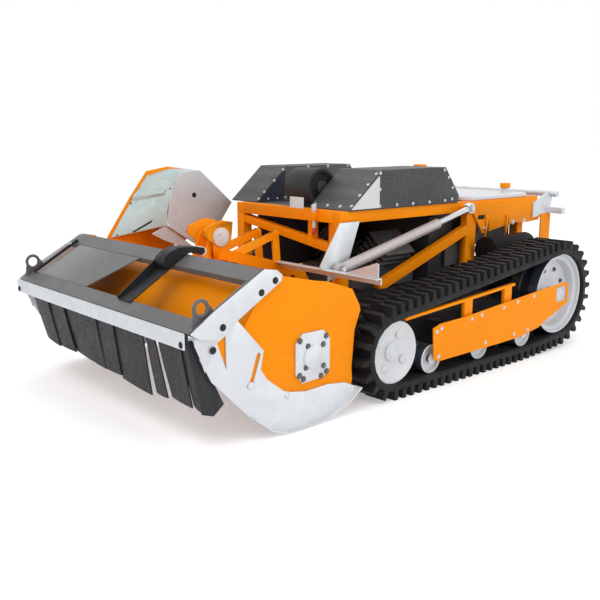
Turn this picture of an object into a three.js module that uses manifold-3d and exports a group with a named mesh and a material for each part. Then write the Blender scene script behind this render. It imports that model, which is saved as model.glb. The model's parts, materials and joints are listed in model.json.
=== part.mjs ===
// Remote control slope mower: tracked carrier with a front flail deck.
// Millimetres, +Z up, the front is -Y, the machine's left side is +X.
import * as THREE from 'three';
import { mergeVertices } from 'three/addons/utils/BufferGeometryUtils.js';
import Module from 'manifold-3d';

const wasm = await Module();
wasm.setup();

// Clearances and sheet
const GAP = 0.3;
const OVER = 2;
const PIVOT_PLAY = 1.6;

// Facets of a round form: large wheels and drums, middling ones, small pins and holes
const FACETS = { wheel: 24, drum: 18, shaft: 12, pin: 10, small: 8 };

// Chassis
const TUBE = 40;
const RAIL_X = 272;
const RAIL_TOP = 591;
const FRONT_Y = -245;
const REAR_Y = 940;
const chassis = {
  halfWidth: 290, wall: 6, floor: 95, top: 300, front: -100, rear: 905,
  flange: 38,
};

// Tracks
const track = {
  centreX: 498, width: 150, carcass: 20, lug: 33, pitch: 39.7, inside: 53,
  lugRoot: 24, lugTip: 15, lugLong: 80, lugShort: 62, bed: 3, edge: 1,
  guideWidth: 22, guideRoot: 26, guideTip: 12, guideHeight: 22, guideEvery: 3,
  wheelHalf: 62, grooveHalf: 19, grooveDepth: 28,
};
const idler = { y: -256, radius: 105, bore: 15, hub: 36, rimInner: 66, dish: 18 };
const drive = { y: 710, z: 228, radius: 160, bore: 20, hub: 48, rimInner: 122, lip: 12 };
const roller = { places: [-72, 197, 468], radius: 50, bore: 12, dish: 14 };

// Flail deck
const deck = {
  halfWidth: 544, plate: 6, skin: 5, rotorY: -603, rotorZ: 207,
  shaft: 20, tube: 55, flailTip: 150, hingeY: -740, hingeZ: 462,
};

// Deck lift
const lift = {
  pivotY: -140, pivotZ: 190, pinY: -575, pinZ: 512, armX: 50, plate: 10,
  eyeY: -280, eyeZ: 403, footY: 417, footZ: 568, rodX: 326, pin: 10,
};

// Solids: a closed mesh becomes a solid that can be joined or cut
function solid(geometry) {
  const bare = geometry.index ? geometry.toNonIndexed() : geometry.clone();
  for (const name of Object.keys(bare.attributes)) {
    if (name !== 'position') bare.deleteAttribute(name);
  }
  const merged = mergeVertices(bare);
  const vertProperties = Float32Array.from(merged.attributes.position.array);
  const triVerts = Uint32Array.from(merged.index.array);
  return new wasm.Manifold(new wasm.Mesh({ numProp: 3, vertProperties, triVerts }));
}

function geometryOf(body) {
  const mesh = body.getMesh();
  const stride = mesh.numProp;
  const count = mesh.vertProperties.length / stride;
  const positions = new Float32Array(count * 3);
  for (let i = 0; i < count; i += 1) {
    for (let k = 0; k < 3; k += 1) positions[3 * i + k] = mesh.vertProperties[stride * i + k];
  }
  const geometry = new THREE.BufferGeometry();
  geometry.setAttribute('position', new THREE.BufferAttribute(positions, 3));
  geometry.setIndex(new THREE.BufferAttribute(Uint32Array.from(mesh.triVerts), 1));
  geometry.computeVertexNormals();
  return geometry;
}

function fuse(...parts) {
  return parts.flat().reduce((sum, part) => sum.add(part));
}

function cut(body, ...tools) {
  return tools.flat().reduce((rest, tool) => rest.subtract(tool), body);
}

// The body under a placing matrix
function moved(body, matrix) {
  return solid(geometryOf(body).applyMatrix4(matrix));
}

// The mirror image over the machine's middle plane, with its faces turned back
function mirrored(body) {
  const geometry = geometryOf(body).scale(-1, 1, 1);
  const index = geometry.index.array;
  for (let i = 0; i < index.length; i += 3) {
    const kept = index[i + 1];
    index[i + 1] = index[i + 2];
    index[i + 2] = kept;
  }
  return solid(geometry);
}

// Outlines: shares of a span, from y0 to y1 across and z0 to z1 up
function outline(span, shares) {
  return shares.map(([s, t]) => [
    span.y0 + s * (span.y1 - span.y0),
    span.z0 + t * (span.z1 - span.z0),
  ]);
}

function shapeOf(points) {
  return new THREE.Shape(points.map(([a, b]) => new THREE.Vector2(a, b)));
}

function prism(points, depth) {
  return new THREE.ExtrudeGeometry(shapeOf(points), { depth, bevelEnabled: false });
}

// A plate whose outline lies in Y and Z, from x0 to x1
function plateX(points, x0, x1) {
  const geometry = prism(points, x1 - x0);
  const turn = new THREE.Matrix4().makeBasis(
    new THREE.Vector3(0, 1, 0), new THREE.Vector3(0, 0, 1), new THREE.Vector3(1, 0, 0));
  geometry.applyMatrix4(turn);
  geometry.translate(x0, 0, 0);
  return solid(geometry);
}

// A plate whose outline lies in X and Z, from y0 to y1
function plateY(points, y0, y1) {
  const geometry = prism(points, y1 - y0);
  const turn = new THREE.Matrix4().makeBasis(
    new THREE.Vector3(1, 0, 0), new THREE.Vector3(0, 0, 1), new THREE.Vector3(0, -1, 0));
  geometry.applyMatrix4(turn);
  geometry.translate(0, y1, 0);
  return solid(geometry);
}

// A plate whose outline lies in X and Y, from z0 to z1
function plateZ(points, z0, z1) {
  const geometry = prism(points, z1 - z0);
  geometry.translate(0, 0, z0);
  return solid(geometry);
}

function block(x0, x1, y0, y1, z0, z1) {
  const geometry = new THREE.BoxGeometry(x1 - x0, y1 - y0, z1 - z0);
  geometry.translate((x0 + x1) / 2, (y0 + y1) / 2, (z0 + z1) / 2);
  return solid(geometry);
}

function rodX(x0, x1, y, z, radius, sides = FACETS.shaft) {
  const geometry = new THREE.CylinderGeometry(radius, radius, x1 - x0, sides);
  geometry.rotateZ(Math.PI / 2);
  geometry.translate((x0 + x1) / 2, y, z);
  return solid(geometry);
}

function rodZ(x, y, z0, z1, radius, sides = FACETS.shaft) {
  const geometry = new THREE.CylinderGeometry(radius, radius, z1 - z0, sides);
  geometry.rotateX(Math.PI / 2);
  geometry.translate(x, y, (z0 + z1) / 2);
  return solid(geometry);
}

function rodY(x, y0, y1, z, radius, sides = FACETS.shaft) {
  const geometry = new THREE.CylinderGeometry(radius, radius, y1 - y0, sides);
  geometry.translate(x, (y0 + y1) / 2, z);
  return solid(geometry);
}

// The radius of a faceted hole whose flats clear a round of the given radius
function around(radius, sides) {
  return (radius + GAP) / Math.cos(Math.PI / sides);
}

function boreX(x0, x1, y, z, radius, sides = FACETS.shaft) {
  return rodX(x0 - OVER, x1 + OVER, y, z, around(radius, sides), sides);
}

// A flat bar in a plane of constant X, between two points in Y and Z
function barX(x0, x1, from, to, width) {
  const along = new THREE.Vector2(to[0] - from[0], to[1] - from[1]).normalize();
  const side = new THREE.Vector2(-along.y, along.x).multiplyScalar(width / 2);
  const points = [
    [from[0] + side.x, from[1] + side.y], [from[0] - side.x, from[1] - side.y],
    [to[0] - side.x, to[1] - side.y], [to[0] + side.x, to[1] + side.y],
  ];
  return plateX(points, x0, x1);
}

// A slot with round ends through a plate of constant X
function slotX(x0, x1, from, to, radius) {
  return fuse(
    barX(x0, x1, from, to, radius * 2),
    rodX(x0, x1, ...from, radius, FACETS.small), rodX(x0, x1, ...to, radius, FACETS.small));
}

// A bent sheet seen from the side: a line of points given a thickness on its right
function sheetPoints(points, thickness) {
  const inner = points.map((point, i) => {
    const before = points[Math.max(i - 1, 0)];
    const after = points[Math.min(i + 1, points.length - 1)];
    const run = new THREE.Vector2(after[0] - before[0], after[1] - before[1]).normalize();
    return [point[0] + run.y * thickness, point[1] - run.x * thickness];
  });
  return [...points, ...inner.reverse()];
}

// A wheel turned about X: profile points are radius and distance from the wheel's middle
function wheel(profile, x, y, z, sides) {
  const points = profile.map(([r, a]) => new THREE.Vector2(r, a));
  points.push(points[0].clone());
  const geometry = new THREE.LatheGeometry(points, sides);
  geometry.rotateZ(-Math.PI / 2);
  geometry.translate(x, y, z);
  const body = solid(geometry);
  if (body.volume() > 0) return body;
  const flipped = new THREE.LatheGeometry(points.slice().reverse(), sides);
  flipped.rotateZ(-Math.PI / 2);
  flipped.translate(x, y, z);
  return solid(flipped);
}

// The nodes
const group = new THREE.Group();
const PAINT = {
  orange: { color: '#f08a0e', roughness: 0.4, metalness: 0 },
  zinc: { color: '#c9cdd0', roughness: 0.35, metalness: 0.9 },
  charcoal: { color: '#3a3b3d', roughness: 0.55, metalness: 0.1 },
  black: { color: '#1b1b1c', roughness: 0.6, metalness: 0 },
  white: { color: '#e8eaec', roughness: 0.4, metalness: 0 },
  rubber: { color: '#222324', roughness: 0.85, metalness: 0 },
  steel: { color: '#9fa4a8', roughness: 0.35, metalness: 0.9 },
  red: { color: '#c0221c', roughness: 0.4, metalness: 0 },
};

function place(name, body, paint, parent = group) {
  const mesh = new THREE.Mesh(geometryOf(body), new THREE.MeshStandardMaterial(PAINT[paint]));
  mesh.name = name;
  parent.add(mesh);
}

function pair(name, body, paint) {
  place(`${name}_left`, body, paint);
  place(`${name}_right`, mirrored(body), paint);
}

// Track path: the belt's inner face runs round three circles
const idlerZ = track.inside + GAP + idler.radius;
const rollerZ = track.inside + GAP + roller.radius;
const trackCircles = [
  { y: idler.y, z: idlerZ, r: idler.radius + GAP },
  { y: roller.places.at(-1), z: rollerZ, r: roller.radius + GAP },
  { y: drive.y, z: drive.z, r: drive.radius + GAP },
];

// Counterclockwise tangent from one circle to the next: the normal's angle
function tangentAngle(a, b) {
  const dy = b.y - a.y;
  const dz = b.z - a.z;
  const distance = Math.hypot(dy, dz);
  return Math.atan2(dz, dy) - Math.acos((a.r - b.r) / distance);
}

// The pieces of a belt path, with arc lengths measured at an offset
function beltPath(circles, offset = 0) {
  const legs = circles.map((circle, i) => {
    const next = circles[(i + 1) % circles.length];
    const before = circles[(i + circles.length - 1) % circles.length];
    const start = tangentAngle(before, circle);
    const end = tangentAngle(circle, next);
    const turn = ((end - start) % (2 * Math.PI) + 2 * Math.PI) % (2 * Math.PI);
    return { circle, next, start, turn, end };
  });
  return legs.flatMap(({ circle, next, start, turn, end }) => {
    const run = Math.hypot(next.y - circle.y, next.z - circle.z);
    const straight = Math.sqrt(run ** 2 - (circle.r - next.r) ** 2);
    return [
      { kind: 'arc', circle, start, turn, length: turn * (circle.r + offset) },
      { kind: 'line', circle, end, length: straight },
    ];
  });
}

// The point, outward direction and running direction at a distance along the path
function onPath(pieces, distance) {
  let rest = distance;
  for (const piece of pieces) {
    if (rest <= piece.length || piece === pieces.at(-1)) {
      const angle = piece.kind === 'arc'
        ? piece.start + piece.turn * (rest / piece.length) : piece.end;
      const out = [Math.cos(angle), Math.sin(angle)];
      const along = [-out[1], out[0]];
      const travel = piece.kind === 'arc' ? 0 : rest;
      return {
        out, along,
        y: piece.circle.y + piece.circle.r * out[0] + travel * along[0],
        z: piece.circle.z + piece.circle.r * out[1] + travel * along[1],
      };
    }
    rest -= piece.length;
  }
  return null;
}

// A row of tapered blocks on the belt: base and tip heights are measured out of the inner face
function blocksOnPath(pieces, places, size) {
  const positions = [];
  for (const { distance, x0, x1 } of places) {
    const spot = onPath(pieces, distance);
    const corner = (along, out) => [
      spot.y + spot.along[0] * along + spot.out[0] * out,
      spot.z + spot.along[1] * along + spot.out[1] * out,
    ];
    const quad = [
      corner(-size.root / 2, size.base), corner(size.root / 2, size.base),
      corner(size.tip / 2, size.top), corner(-size.tip / 2, size.top),
    ];
    const area = (quad[1][0] - quad[0][0]) * (quad[3][1] - quad[0][1])
      - (quad[1][1] - quad[0][1]) * (quad[3][0] - quad[0][0]);
    if (area < 0) quad.reverse();
    const near = quad.map(([y, z]) => [x0, y, z]);
    const far = quad.map(([y, z]) => [x1, y, z]);
    const faces = [[near[3], near[2], near[1], near[0]], far];
    for (let k = 0; k < quad.length; k += 1) {
      const n = (k + 1) % quad.length;
      faces.push([near[k], near[n], far[n], far[k]]);
    }
    for (const [a, b, c, d] of faces) positions.push(...a, ...b, ...c, ...a, ...c, ...d);
  }
  const geometry = new THREE.BufferGeometry();
  geometry.setAttribute('position', new THREE.Float32BufferAttribute(positions, 3));
  return solid(geometry);
}

// A closed loop at a height above the path, its edges touching each circle at that height
function loopPoints(pieces, height, stepLength) {
  const arcs = pieces.filter((piece) => piece.kind === 'arc');
  return arcs.flatMap(({ circle, start, turn, length }) => {
    const parts = Math.max(2, Math.ceil(length / stepLength));
    const step = turn / parts;
    const reach = (circle.r + height) / Math.cos(step / 2);
    return Array.from({ length: parts }, (unused, k) => {
      const angle = start + (k + 1 / 2) * step;
      return [circle.y + reach * Math.cos(angle), circle.z + reach * Math.sin(angle)];
    });
  });
}

// Rubber track: carcass, two staggered rows of lugs outside, guide lugs inside
function trackBelt() {
  const pieces = beltPath(trackCircles);
  const length = pieces.reduce((sum, piece) => sum + piece.length, 0);
  const count = Math.round(length / track.pitch / 2) * 2;
  const pitch = length / count;
  const loop = (height) => loopPoints(pieces, height, pitch);
  const inner = track.centreX - track.width / 2;
  const outer = track.centreX + track.width / 2;
  const carcass = cut(
    plateX(loop(track.carcass), inner, outer),
    plateX(loop(0), inner - OVER, outer + OVER));
  const lugs = { root: track.lugRoot, tip: track.lugTip, base: track.carcass - track.bed };
  lugs.top = track.carcass + track.lug;
  const rows = [];
  for (let i = 0; i < count; i += 1) {
    const reach = i % 2 ? track.lugLong : track.lugShort;
    rows.push({ distance: i * pitch, x0: outer - reach, x1: outer - track.edge });
    rows.push({ distance: (i + 1 / 2) * pitch, x0: inner + track.edge, x1: inner + reach });
  }
  const outside = rows.map((row) => blocksOnPath(pieces, [row], lugs));
  const guides = [];
  for (let i = 0; i < count; i += track.guideEvery) {
    const half = track.guideWidth / 2;
    guides.push({ distance: i * pitch, x0: track.centreX - half, x1: track.centreX + half });
  }
  const inside = { root: track.guideRoot, tip: track.guideTip, base: track.bed };
  inside.top = -track.guideHeight;
  const inward = guides.map((guide) => blocksOnPath(pieces, [guide], inside));
  return fuse(carcass, outside, inward);
}

// Wheels of one track
function idlerWheel() {
  const { radius, bore, hub, rimInner, dish } = idler;
  const { wheelHalf: w, grooveHalf: g, grooveDepth } = track;
  const bottom = radius - grooveDepth;
  const web = track.carcass / 2;
  const hole = around(bore, FACETS.wheel);
  return wheel([
    [hole, -g], [hub, -g], [rimInner, dish - web], [rimInner, -w], [radius, -w],
    [radius, -g], [bottom, -g], [bottom, g], [radius, g], [radius, w],
    [radius - web, w], [rimInner, dish + web], [hole, dish + web],
  ], track.centreX, idler.y, idlerZ, FACETS.wheel);
}

function driveWheel() {
  const { radius, bore, hub, rimInner, lip } = drive;
  const { wheelHalf: w, grooveHalf: g, grooveDepth } = track;
  const bottom = radius - grooveDepth;
  const hole = around(bore, FACETS.wheel);
  return wheel([
    [hole, -w], [hub, -w], [hub, -lip], [rimInner, -lip], [rimInner, -w], [radius, -w],
    [radius, -g], [bottom, -g], [bottom, g], [radius, g], [radius, w], [radius - lip, w],
    [rimInner, lip], [hole, lip],
  ], track.centreX, drive.y, drive.z, FACETS.wheel);
}

function roadRoller(y) {
  const { radius, bore, dish } = roller;
  const { wheelHalf: w, grooveHalf: g, grooveDepth } = track;
  const hole = around(bore, FACETS.shaft);
  return wheel([
    [hole, -w], [radius, -w], [radius, -g], [radius - grooveDepth, -g],
    [radius - grooveDepth, g], [radius, g], [radius, w], [hole, w - dish],
  ], track.centreX, y, rollerZ, FACETS.shaft);
}

// Track frame: inner beam with the axles, arms to the side cover and the upper slide rail
const beam = {
  x0: 345, x1: 395, plateX0: 380, y0: -300, y1: 560, z0: 84, z1: 205, tailZ: 150,
  armY: [115, 350], armWidth: 44, armZ0: 150, armZ1: 190, collar: 18, collarLength: 6,
  railX0: 553, railX1: 567, railHeight: 10, railFrom: [-213, 263], railTo: [393, 305],
  spacerY: [-40, 420], spacerHalf: 30, spacerZ0: 120, spacerZ1: 180,
};
const cover = {
  x0: 575, x1: 579, span: { y0: -73, y1: 785, z0: 88, z1: 271 }, lip: 7,
  windowY: 726, windowZ: 229, windowWidth: 75, windowHeight: 60,
  shares: [
    [0, 0.65], [0.006, 0.04], [0.05, 0.005], [0.38, 0], [0.715, 0.03],
    [0.77, 0.15], [1, 0.475], [0.994, 1], [0.9, 0.965],
  ],
};

function trackFrame() {
  const wheelEnd = track.centreX + track.wheelHalf;
  const plate = plateX([
    [beam.y0, idlerZ - beam.armWidth / 2], [roller.places[0] - beam.armWidth, beam.z0],
    [roller.places.at(-1) + beam.armWidth, beam.z0], [beam.y1, beam.tailZ],
    [beam.y1, beam.z1], [beam.y0, beam.z1],
  ], beam.plateX0, beam.x1);
  const back = block(beam.x0, beam.x1, beam.y0, beam.y1, beam.armZ0, beam.z1);
  const axles = [
    rodX(beam.x1 - OVER, wheelEnd - track.grooveHalf, idler.y, idlerZ, idler.bore, FACETS.pin),
    rodX(wheelEnd - track.grooveHalf - OVER, wheelEnd - track.grooveHalf + beam.collarLength,
      idler.y, idlerZ, idler.bore, FACETS.pin),
    ...roller.places.flatMap((y) => [
      rodX(beam.x1 - OVER, wheelEnd + GAP + OVER, y, rollerZ, roller.bore, FACETS.small),
      rodX(wheelEnd + GAP, wheelEnd + GAP + beam.collarLength, y, rollerZ, beam.collar, FACETS.small),
    ]),
  ];
  const arms = beam.armY.flatMap((y) => {
    const share = (y - beam.railFrom[0]) / (beam.railTo[0] - beam.railFrom[0]);
    const railZ = beam.railFrom[1] + share * (beam.railTo[1] - beam.railFrom[1]);
    const half = beam.armWidth / 2;
    return [
      block(beam.x1 - OVER, cover.x0 - GAP, y - half, y + half, beam.armZ0, beam.armZ1),
      block(beam.railX0, beam.railX1, y - half, y + half, beam.armZ1 - OVER, railZ),
    ];
  });
  const rail = barX(beam.railX0, beam.railX1, beam.railFrom, beam.railTo, beam.railHeight);
  const spacers = beam.spacerY.map((y) => block(
    chassis.halfWidth + GAP, beam.plateX0 + OVER, y - beam.spacerHalf, y + beam.spacerHalf,
    beam.spacerZ0, beam.spacerZ1));
  return fuse(plate, back, axles, arms, rail, spacers);
}

function trackCover() {
  const points = outline(cover.span, cover.shares);
  const sheet = plateX(points, cover.x0, cover.x1);
  const top = [points.at(-2), points.at(-1), points[0]];
  const lip = plateX(sheetPoints(top, cover.x0 - cover.x1), cover.x0 - cover.lip, cover.x0 + OVER);
  const half = cover.windowWidth / 2;
  const window = block(cover.x0 - OVER, cover.x1 + OVER, cover.windowY - half,
    cover.windowY + half, cover.windowZ - cover.windowHeight / 2,
    cover.windowZ + cover.windowHeight / 2);
  return cut(fuse(sheet, lip), window);
}

// Chassis tub: floor, walls, cheeks in front that carry the lift pivot, and a top flange
const cheekShares = [[0, 0.75], [0.06, 0.27], [0.118, 0], [1, 0], [1, 1], [0, 1]];

function chassisTub() {
  const c = chassis;
  const inner = c.halfWidth - c.wall;
  const span = { y0: FRONT_Y, y1: c.rear, z0: c.floor, z1: c.top };
  const side = fuse(
    plateX(outline(span, cheekShares), inner, c.halfWidth),
    block(c.halfWidth - c.flange, c.halfWidth, FRONT_Y, c.rear, c.top - c.wall, c.top));
  const hole = boreX(inner, c.halfWidth, lift.pivotY, lift.pivotZ, shaft.stub);
  const bored = cut(side, hole);
  return fuse(
    bored, mirrored(bored),
    block(-inner - OVER, inner + OVER, c.front, c.rear, c.floor, c.floor + c.wall),
    block(-inner - OVER, inner + OVER, c.front, c.front + c.wall, c.floor, c.top),
    block(-inner - OVER, inner + OVER, c.rear - c.wall, c.rear, c.floor, c.top));
}

// Frame of square tube
const RAIL_BOTTOM = RAIL_TOP - TUBE;
const RAIL_IN = RAIL_X - TUBE / 2;
const RAIL_OUT = RAIL_X + TUBE / 2;
const shaft = { torsion: 22, stub: 15 };
const front = {
  brace: 30, braceHigh: 532, braceLow: 456, postX: [130, 238], postWidth: 20, postInset: 5,
  tabX0: 27, tabX1: 98, tabTop: 630, tab: 4,
  pinX: 170, pinY: -257, pinSleeve: 12, sleeveLength: 28, sleeveGap: 5, pinRadius: 6,
  pinLow: 505, pinTop: 611, knob: 9, knobHeight: 22,
};
const gusset = {
  x0: 291, x1: 297, span: { y0: 454, y1: 950, z0: 458, z1: 585 },
  slotY0: 521, slotY1: 556, slotZ: 524, slotRadius: 9,
  shares: [
    [0, 1], [0.69, 0.95], [0.98, 0.93], [1, 0.24], [0.8, 0.19], [0.635, 0.236],
    [0.464, 0.15], [0.19, 0],
  ],
};
const brace = {
  x0: 257, x1: 287, from: [-40, 306], to: [480, 485], width: 36, postY0: 455, postY1: 515,
};
const rear = {
  midY0: 340, midY1: 380, postX0: 212, postY0: 858, bearerX0: 222, bearerX1: 250,
  bearerTop: 575, barX: 380, barY0: 995, barY1: 1020, barZ0: 515, barZ1: 540,
  tubeX: 336, tubeY: 1027, tubeZ: 596, tubeRadius: 13, plate: 6,
  span: { y0: 895, y1: 1038, z0: 400, z1: 607 },
  shares: [
    [0, 0.48], [0.63, 0.48], [0.63, 0], [0.87, 0], [0.87, 0.55], [1, 0.86], [1, 1],
    [0.75, 1], [0, 0.78],
  ],
};

function frontFrame() {
  const y1 = FRONT_Y + TUBE;
  const rail = block(-RAIL_IN + GAP, RAIL_IN - GAP, FRONT_Y, y1, RAIL_BOTTOM, RAIL_TOP);
  const post = block(RAIL_IN, RAIL_OUT, FRONT_Y, y1, chassis.top + GAP, RAIL_BOTTOM - GAP);
  const half = front.brace / 2;
  const end = RAIL_IN + TUBE / 4;
  const slant = plateY([
    [-end, front.braceHigh - half], [end, front.braceLow - half],
    [end, front.braceLow + half], [-end, front.braceHigh + half],
  ], FRONT_Y + front.postInset, y1 - front.postInset);
  const shorts = front.postX.map((x) => block(
    x - front.postWidth / 2, x + front.postWidth / 2, FRONT_Y + front.postInset,
    y1 - front.postInset, front.braceLow + half, RAIL_BOTTOM + OVER));
  const tab = block(front.tabX0, front.tabX1, FRONT_Y, FRONT_Y + front.tab,
    RAIL_TOP - OVER, front.tabTop);
  const sleeveTop = front.pinTop - front.knobHeight - front.sleeveGap;
  const sleeveFoot = sleeveTop - front.sleeveLength;
  const sleeve = cut(
    block(front.pinX - front.pinSleeve, front.pinX + front.pinSleeve,
      front.pinY - front.pinSleeve, FRONT_Y + OVER, sleeveFoot, sleeveTop),
    rodZ(front.pinX, front.pinY, sleeveFoot - OVER, sleeveTop + OVER,
      around(front.pinRadius, FACETS.small), FACETS.small));
  return fuse(rail, post, mirrored(post), slant, shorts, tab, sleeve);
}

function pullPin() {
  return fuse(
    rodZ(front.pinX, front.pinY, front.pinLow, front.pinTop - OVER, front.pinRadius, FACETS.small),
    rodZ(front.pinX, front.pinY, front.pinTop - front.knobHeight, front.pinTop,
      front.knob, FACETS.pin));
}

function sideRail(withFoot) {
  const g = gusset;
  const rail = block(RAIL_IN, RAIL_OUT, FRONT_Y, REAR_Y, RAIL_BOTTOM, RAIL_TOP);
  const plate = cut(
    plateX(outline(g.span, g.shares), g.x0, g.x1),
    slotX(g.x0 - OVER, g.x1 + OVER, [g.slotY0, g.slotZ], [g.slotY1, g.slotZ], g.slotRadius));
  const body = fuse(rail, plate);
  if (!withFoot) return body;
  const collar = rodX(RAIL_OUT - OVER, lift.rodX - ram.eyeHalf - GAP, lift.footY, lift.footZ,
    ram.collar, FACETS.pin);
  const pin = rodX(RAIL_OUT - OVER, lift.rodX + ram.eyeHalf + OVER, lift.footY, lift.footZ,
    lift.pin, FACETS.pin);
  return fuse(body, collar, pin);
}

function sideBrace() {
  const b = brace;
  const bar = barX(b.x0, b.x1, b.from, b.to, b.width);
  const trim = block(b.x0 - OVER, b.x1 + OVER, b.from[0] - b.width, b.to[0],
    chassis.floor, chassis.top + GAP);
  const post = block(b.x0, b.x1, b.postY0, b.postY1, chassis.top + GAP, RAIL_BOTTOM - GAP);
  return fuse(cut(bar, trim), post);
}

function rearFrame() {
  const width = RAIL_IN - GAP;
  const wallIn = chassis.rear - chassis.wall - GAP;
  const post = fuse(
    block(rear.postX0, width, rear.postY0, wallIn,
      chassis.floor + chassis.wall + GAP, RAIL_TOP - OVER),
    block(rear.postX0, width, wallIn - OVER, REAR_Y - TUBE + OVER,
      RAIL_BOTTOM, RAIL_TOP - OVER));
  const bearer = block(rear.bearerX0, rear.bearerX1, rear.midY1 - OVER, REAR_Y - TUBE + OVER,
    RAIL_BOTTOM, rear.bearerTop);
  return fuse(
    block(-width, width, REAR_Y - TUBE, REAR_Y, RAIL_BOTTOM, RAIL_TOP),
    block(-width, width, rear.midY0, rear.midY1, RAIL_BOTTOM, RAIL_TOP),
    post, mirrored(post), bearer, mirrored(bearer));
}

function rearBumper() {
  const x0 = gusset.x1 + GAP;
  const upright = plateX(outline(rear.span, rear.shares), x0, x0 + rear.plate);
  return fuse(
    rodX(-rear.tubeX, rear.tubeX, rear.tubeY, rear.tubeZ, rear.tubeRadius, FACETS.shaft),
    block(-rear.barX, rear.barX, rear.barY0, rear.barY1, rear.barZ0, rear.barZ1),
    upright, mirrored(upright));
}

// Engine, covers and tank
const panel = {
  thick: 6, holeX0: 110, holeX1: 238, holeY0: -150, holeY1: 325,
};
const hood = {
  span: { y0: -209, y1: 383, z0: RAIL_TOP + GAP, z1: 729 }, wall: 3,
  near: [93, 300], far: [-374, -217],
  shares: [[0, 0], [0, 0.03], [0.253, 0.985], [0.855, 1], [1, 0.2], [0.992, 0]],
};
const fan = {
  x0: -45, x1: 85, y: -141, z: 662, radius: 68, footHalf: 34, footInset: 12,
  core: 22, ring: 54, recess: 14,
};
const engine = {
  halfX: 150, y0: 0, y1: 300, top: 350, coreX: 45, coreY: 60, height: 175, tilt: 0.7,
  baseX: 62, baseZ: 315, fins: 5, finX: 62, finY: 78, finThick: 7, step: 26, firstFin: 60,
  pumpX: 225, pumpY1: 440, pumpTop: 535,
};
const tank = {
  clear: 1, y0: 465, y1: 855, bottom: 400, lidHalfX: 290, lidY0: 459, lidY1: 899, lid: 16,
  corner: 40, fuelX: 0, fuelY: 500, fuelNeck: 22, fuelTop: 715, fuelCap: 28, capHeight: 25,
  oilX: 200, oilY: 830, oilNeck: 16, oilTop: 636, oilCap: 22, oilCapHeight: 20,
};
const muffler = {
  x: 358, y0: 490, y1: 761, z: 400, radius: 54, lugY: [560, 700], lug: 20, lugTop: 525,
  pipe: 20, pipeLength: 36,
};

function topPanel() {
  const width = RAIL_IN - GAP;
  const sheet = block(-width, width, FRONT_Y + TUBE + GAP, rear.midY0 - GAP,
    RAIL_TOP - panel.thick, RAIL_TOP);
  const hole = block(panel.holeX0, panel.holeX1, panel.holeY0, panel.holeY1,
    RAIL_TOP - panel.thick - OVER, RAIL_TOP + OVER);
  return cut(sheet, hole);
}

function hoodShell([x0, x1]) {
  const { span, wall, shares } = hood;
  const within = {
    y0: span.y0 + wall, y1: span.y1 - wall, z0: span.z0 - OVER, z1: span.z1 - wall,
  };
  return cut(
    plateX(outline(span, shares), x0, x1),
    plateX(outline(within, shares), x0 + wall, x1 - wall));
}

function fanHousing() {
  const f = fan;
  const drum = rodX(f.x0, f.x1, f.y, f.z, f.radius, FACETS.wheel);
  const recess = cut(
    rodX(f.x1 - f.recess, f.x1 + OVER, f.y, f.z, f.ring, FACETS.wheel),
    rodX(f.x1 - f.recess - OVER, f.x1 + OVER, f.y, f.z, f.core, FACETS.shaft));
  const foot = block(f.x0 + f.footInset, f.x1 - f.footInset - f.recess, f.y - f.footHalf,
    f.y + f.footHalf, RAIL_TOP + GAP, f.z - f.radius / 2);
  return fuse(cut(drum, recess), foot);
}

function engineBlock() {
  const e = engine;
  const middle = (e.y0 + e.y1) / 2;
  const upright = [block(-e.coreX, e.coreX, -e.coreY, e.coreY, 0, e.height)];
  for (let k = 0; k < e.fins; k += 1) {
    const z = e.firstFin + k * e.step;
    upright.push(block(-e.finX, e.finX, -e.finY, e.finY, z, z + e.finThick));
  }
  const cylinder = fuse(upright);
  const lean = new THREE.Matrix4().makeRotationY(e.tilt);
  lean.setPosition(e.baseX, middle, e.baseZ);
  const left = moved(cylinder, lean);
  const foot = chassis.floor + chassis.wall + GAP;
  return fuse(
    block(-e.halfX, e.halfX, e.y0, e.y1, foot, e.top),
    block(-e.pumpX, e.pumpX, e.y1 - OVER, e.pumpY1, foot, e.pumpTop),
    left, mirrored(left));
}

function twinTank() {
  const t = tank;
  const corners = (x, y0, y1) => [
    [-x + t.corner, y0], [x - t.corner, y0], [x, y0 + t.corner], [x, y1 - t.corner],
    [x - t.corner, y1], [-x + t.corner, y1], [-x, y1 - t.corner], [-x, y0 + t.corner],
  ];
  const lidTop = RAIL_TOP + GAP + t.lid;
  return fuse(
    plateZ(corners(rear.bearerX0 - t.clear, t.y0, t.y1), t.bottom, RAIL_TOP + GAP + OVER),
    plateZ(corners(t.lidHalfX, t.lidY0, t.lidY1), RAIL_TOP + GAP, lidTop),
    rodZ(t.fuelX, t.fuelY, lidTop - OVER, t.fuelTop, t.fuelNeck, FACETS.shaft),
    rodZ(t.oilX, t.oilY, lidTop - OVER, t.oilTop, t.oilNeck, FACETS.shaft));
}

// A screw cap sits over the end of its neck
function neckCap(x, y, neck, top, radius, height) {
  return cut(
    rodZ(x, y, top - height / 2, top + height / 2, radius, FACETS.drum),
    rodZ(x, y, top - height, top + GAP, around(neck, FACETS.shaft), FACETS.shaft));
}

function mufflerBody() {
  const m = muffler;
  const x0 = gusset.x1 + GAP;
  const lugs = m.lugY.flatMap((y) => [
    block(x0, x0 + gusset.x1 - gusset.x0, y, y + m.lug, m.z, m.lugTop),
    block(x0, m.x, y, y + m.lug, m.z, m.z + m.lug),
  ]);
  return fuse(
    rodY(m.x, m.y0, m.y1, m.z, m.radius, FACETS.drum), rodY(m.x, m.y1 - OVER, m.y1 + m.pipeLength,
      m.z, m.pipe, FACETS.pin), lugs);
}

// Wheel motors
const motor = { radius: 58, flange: 70, flangeThick: 12 };

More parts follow.
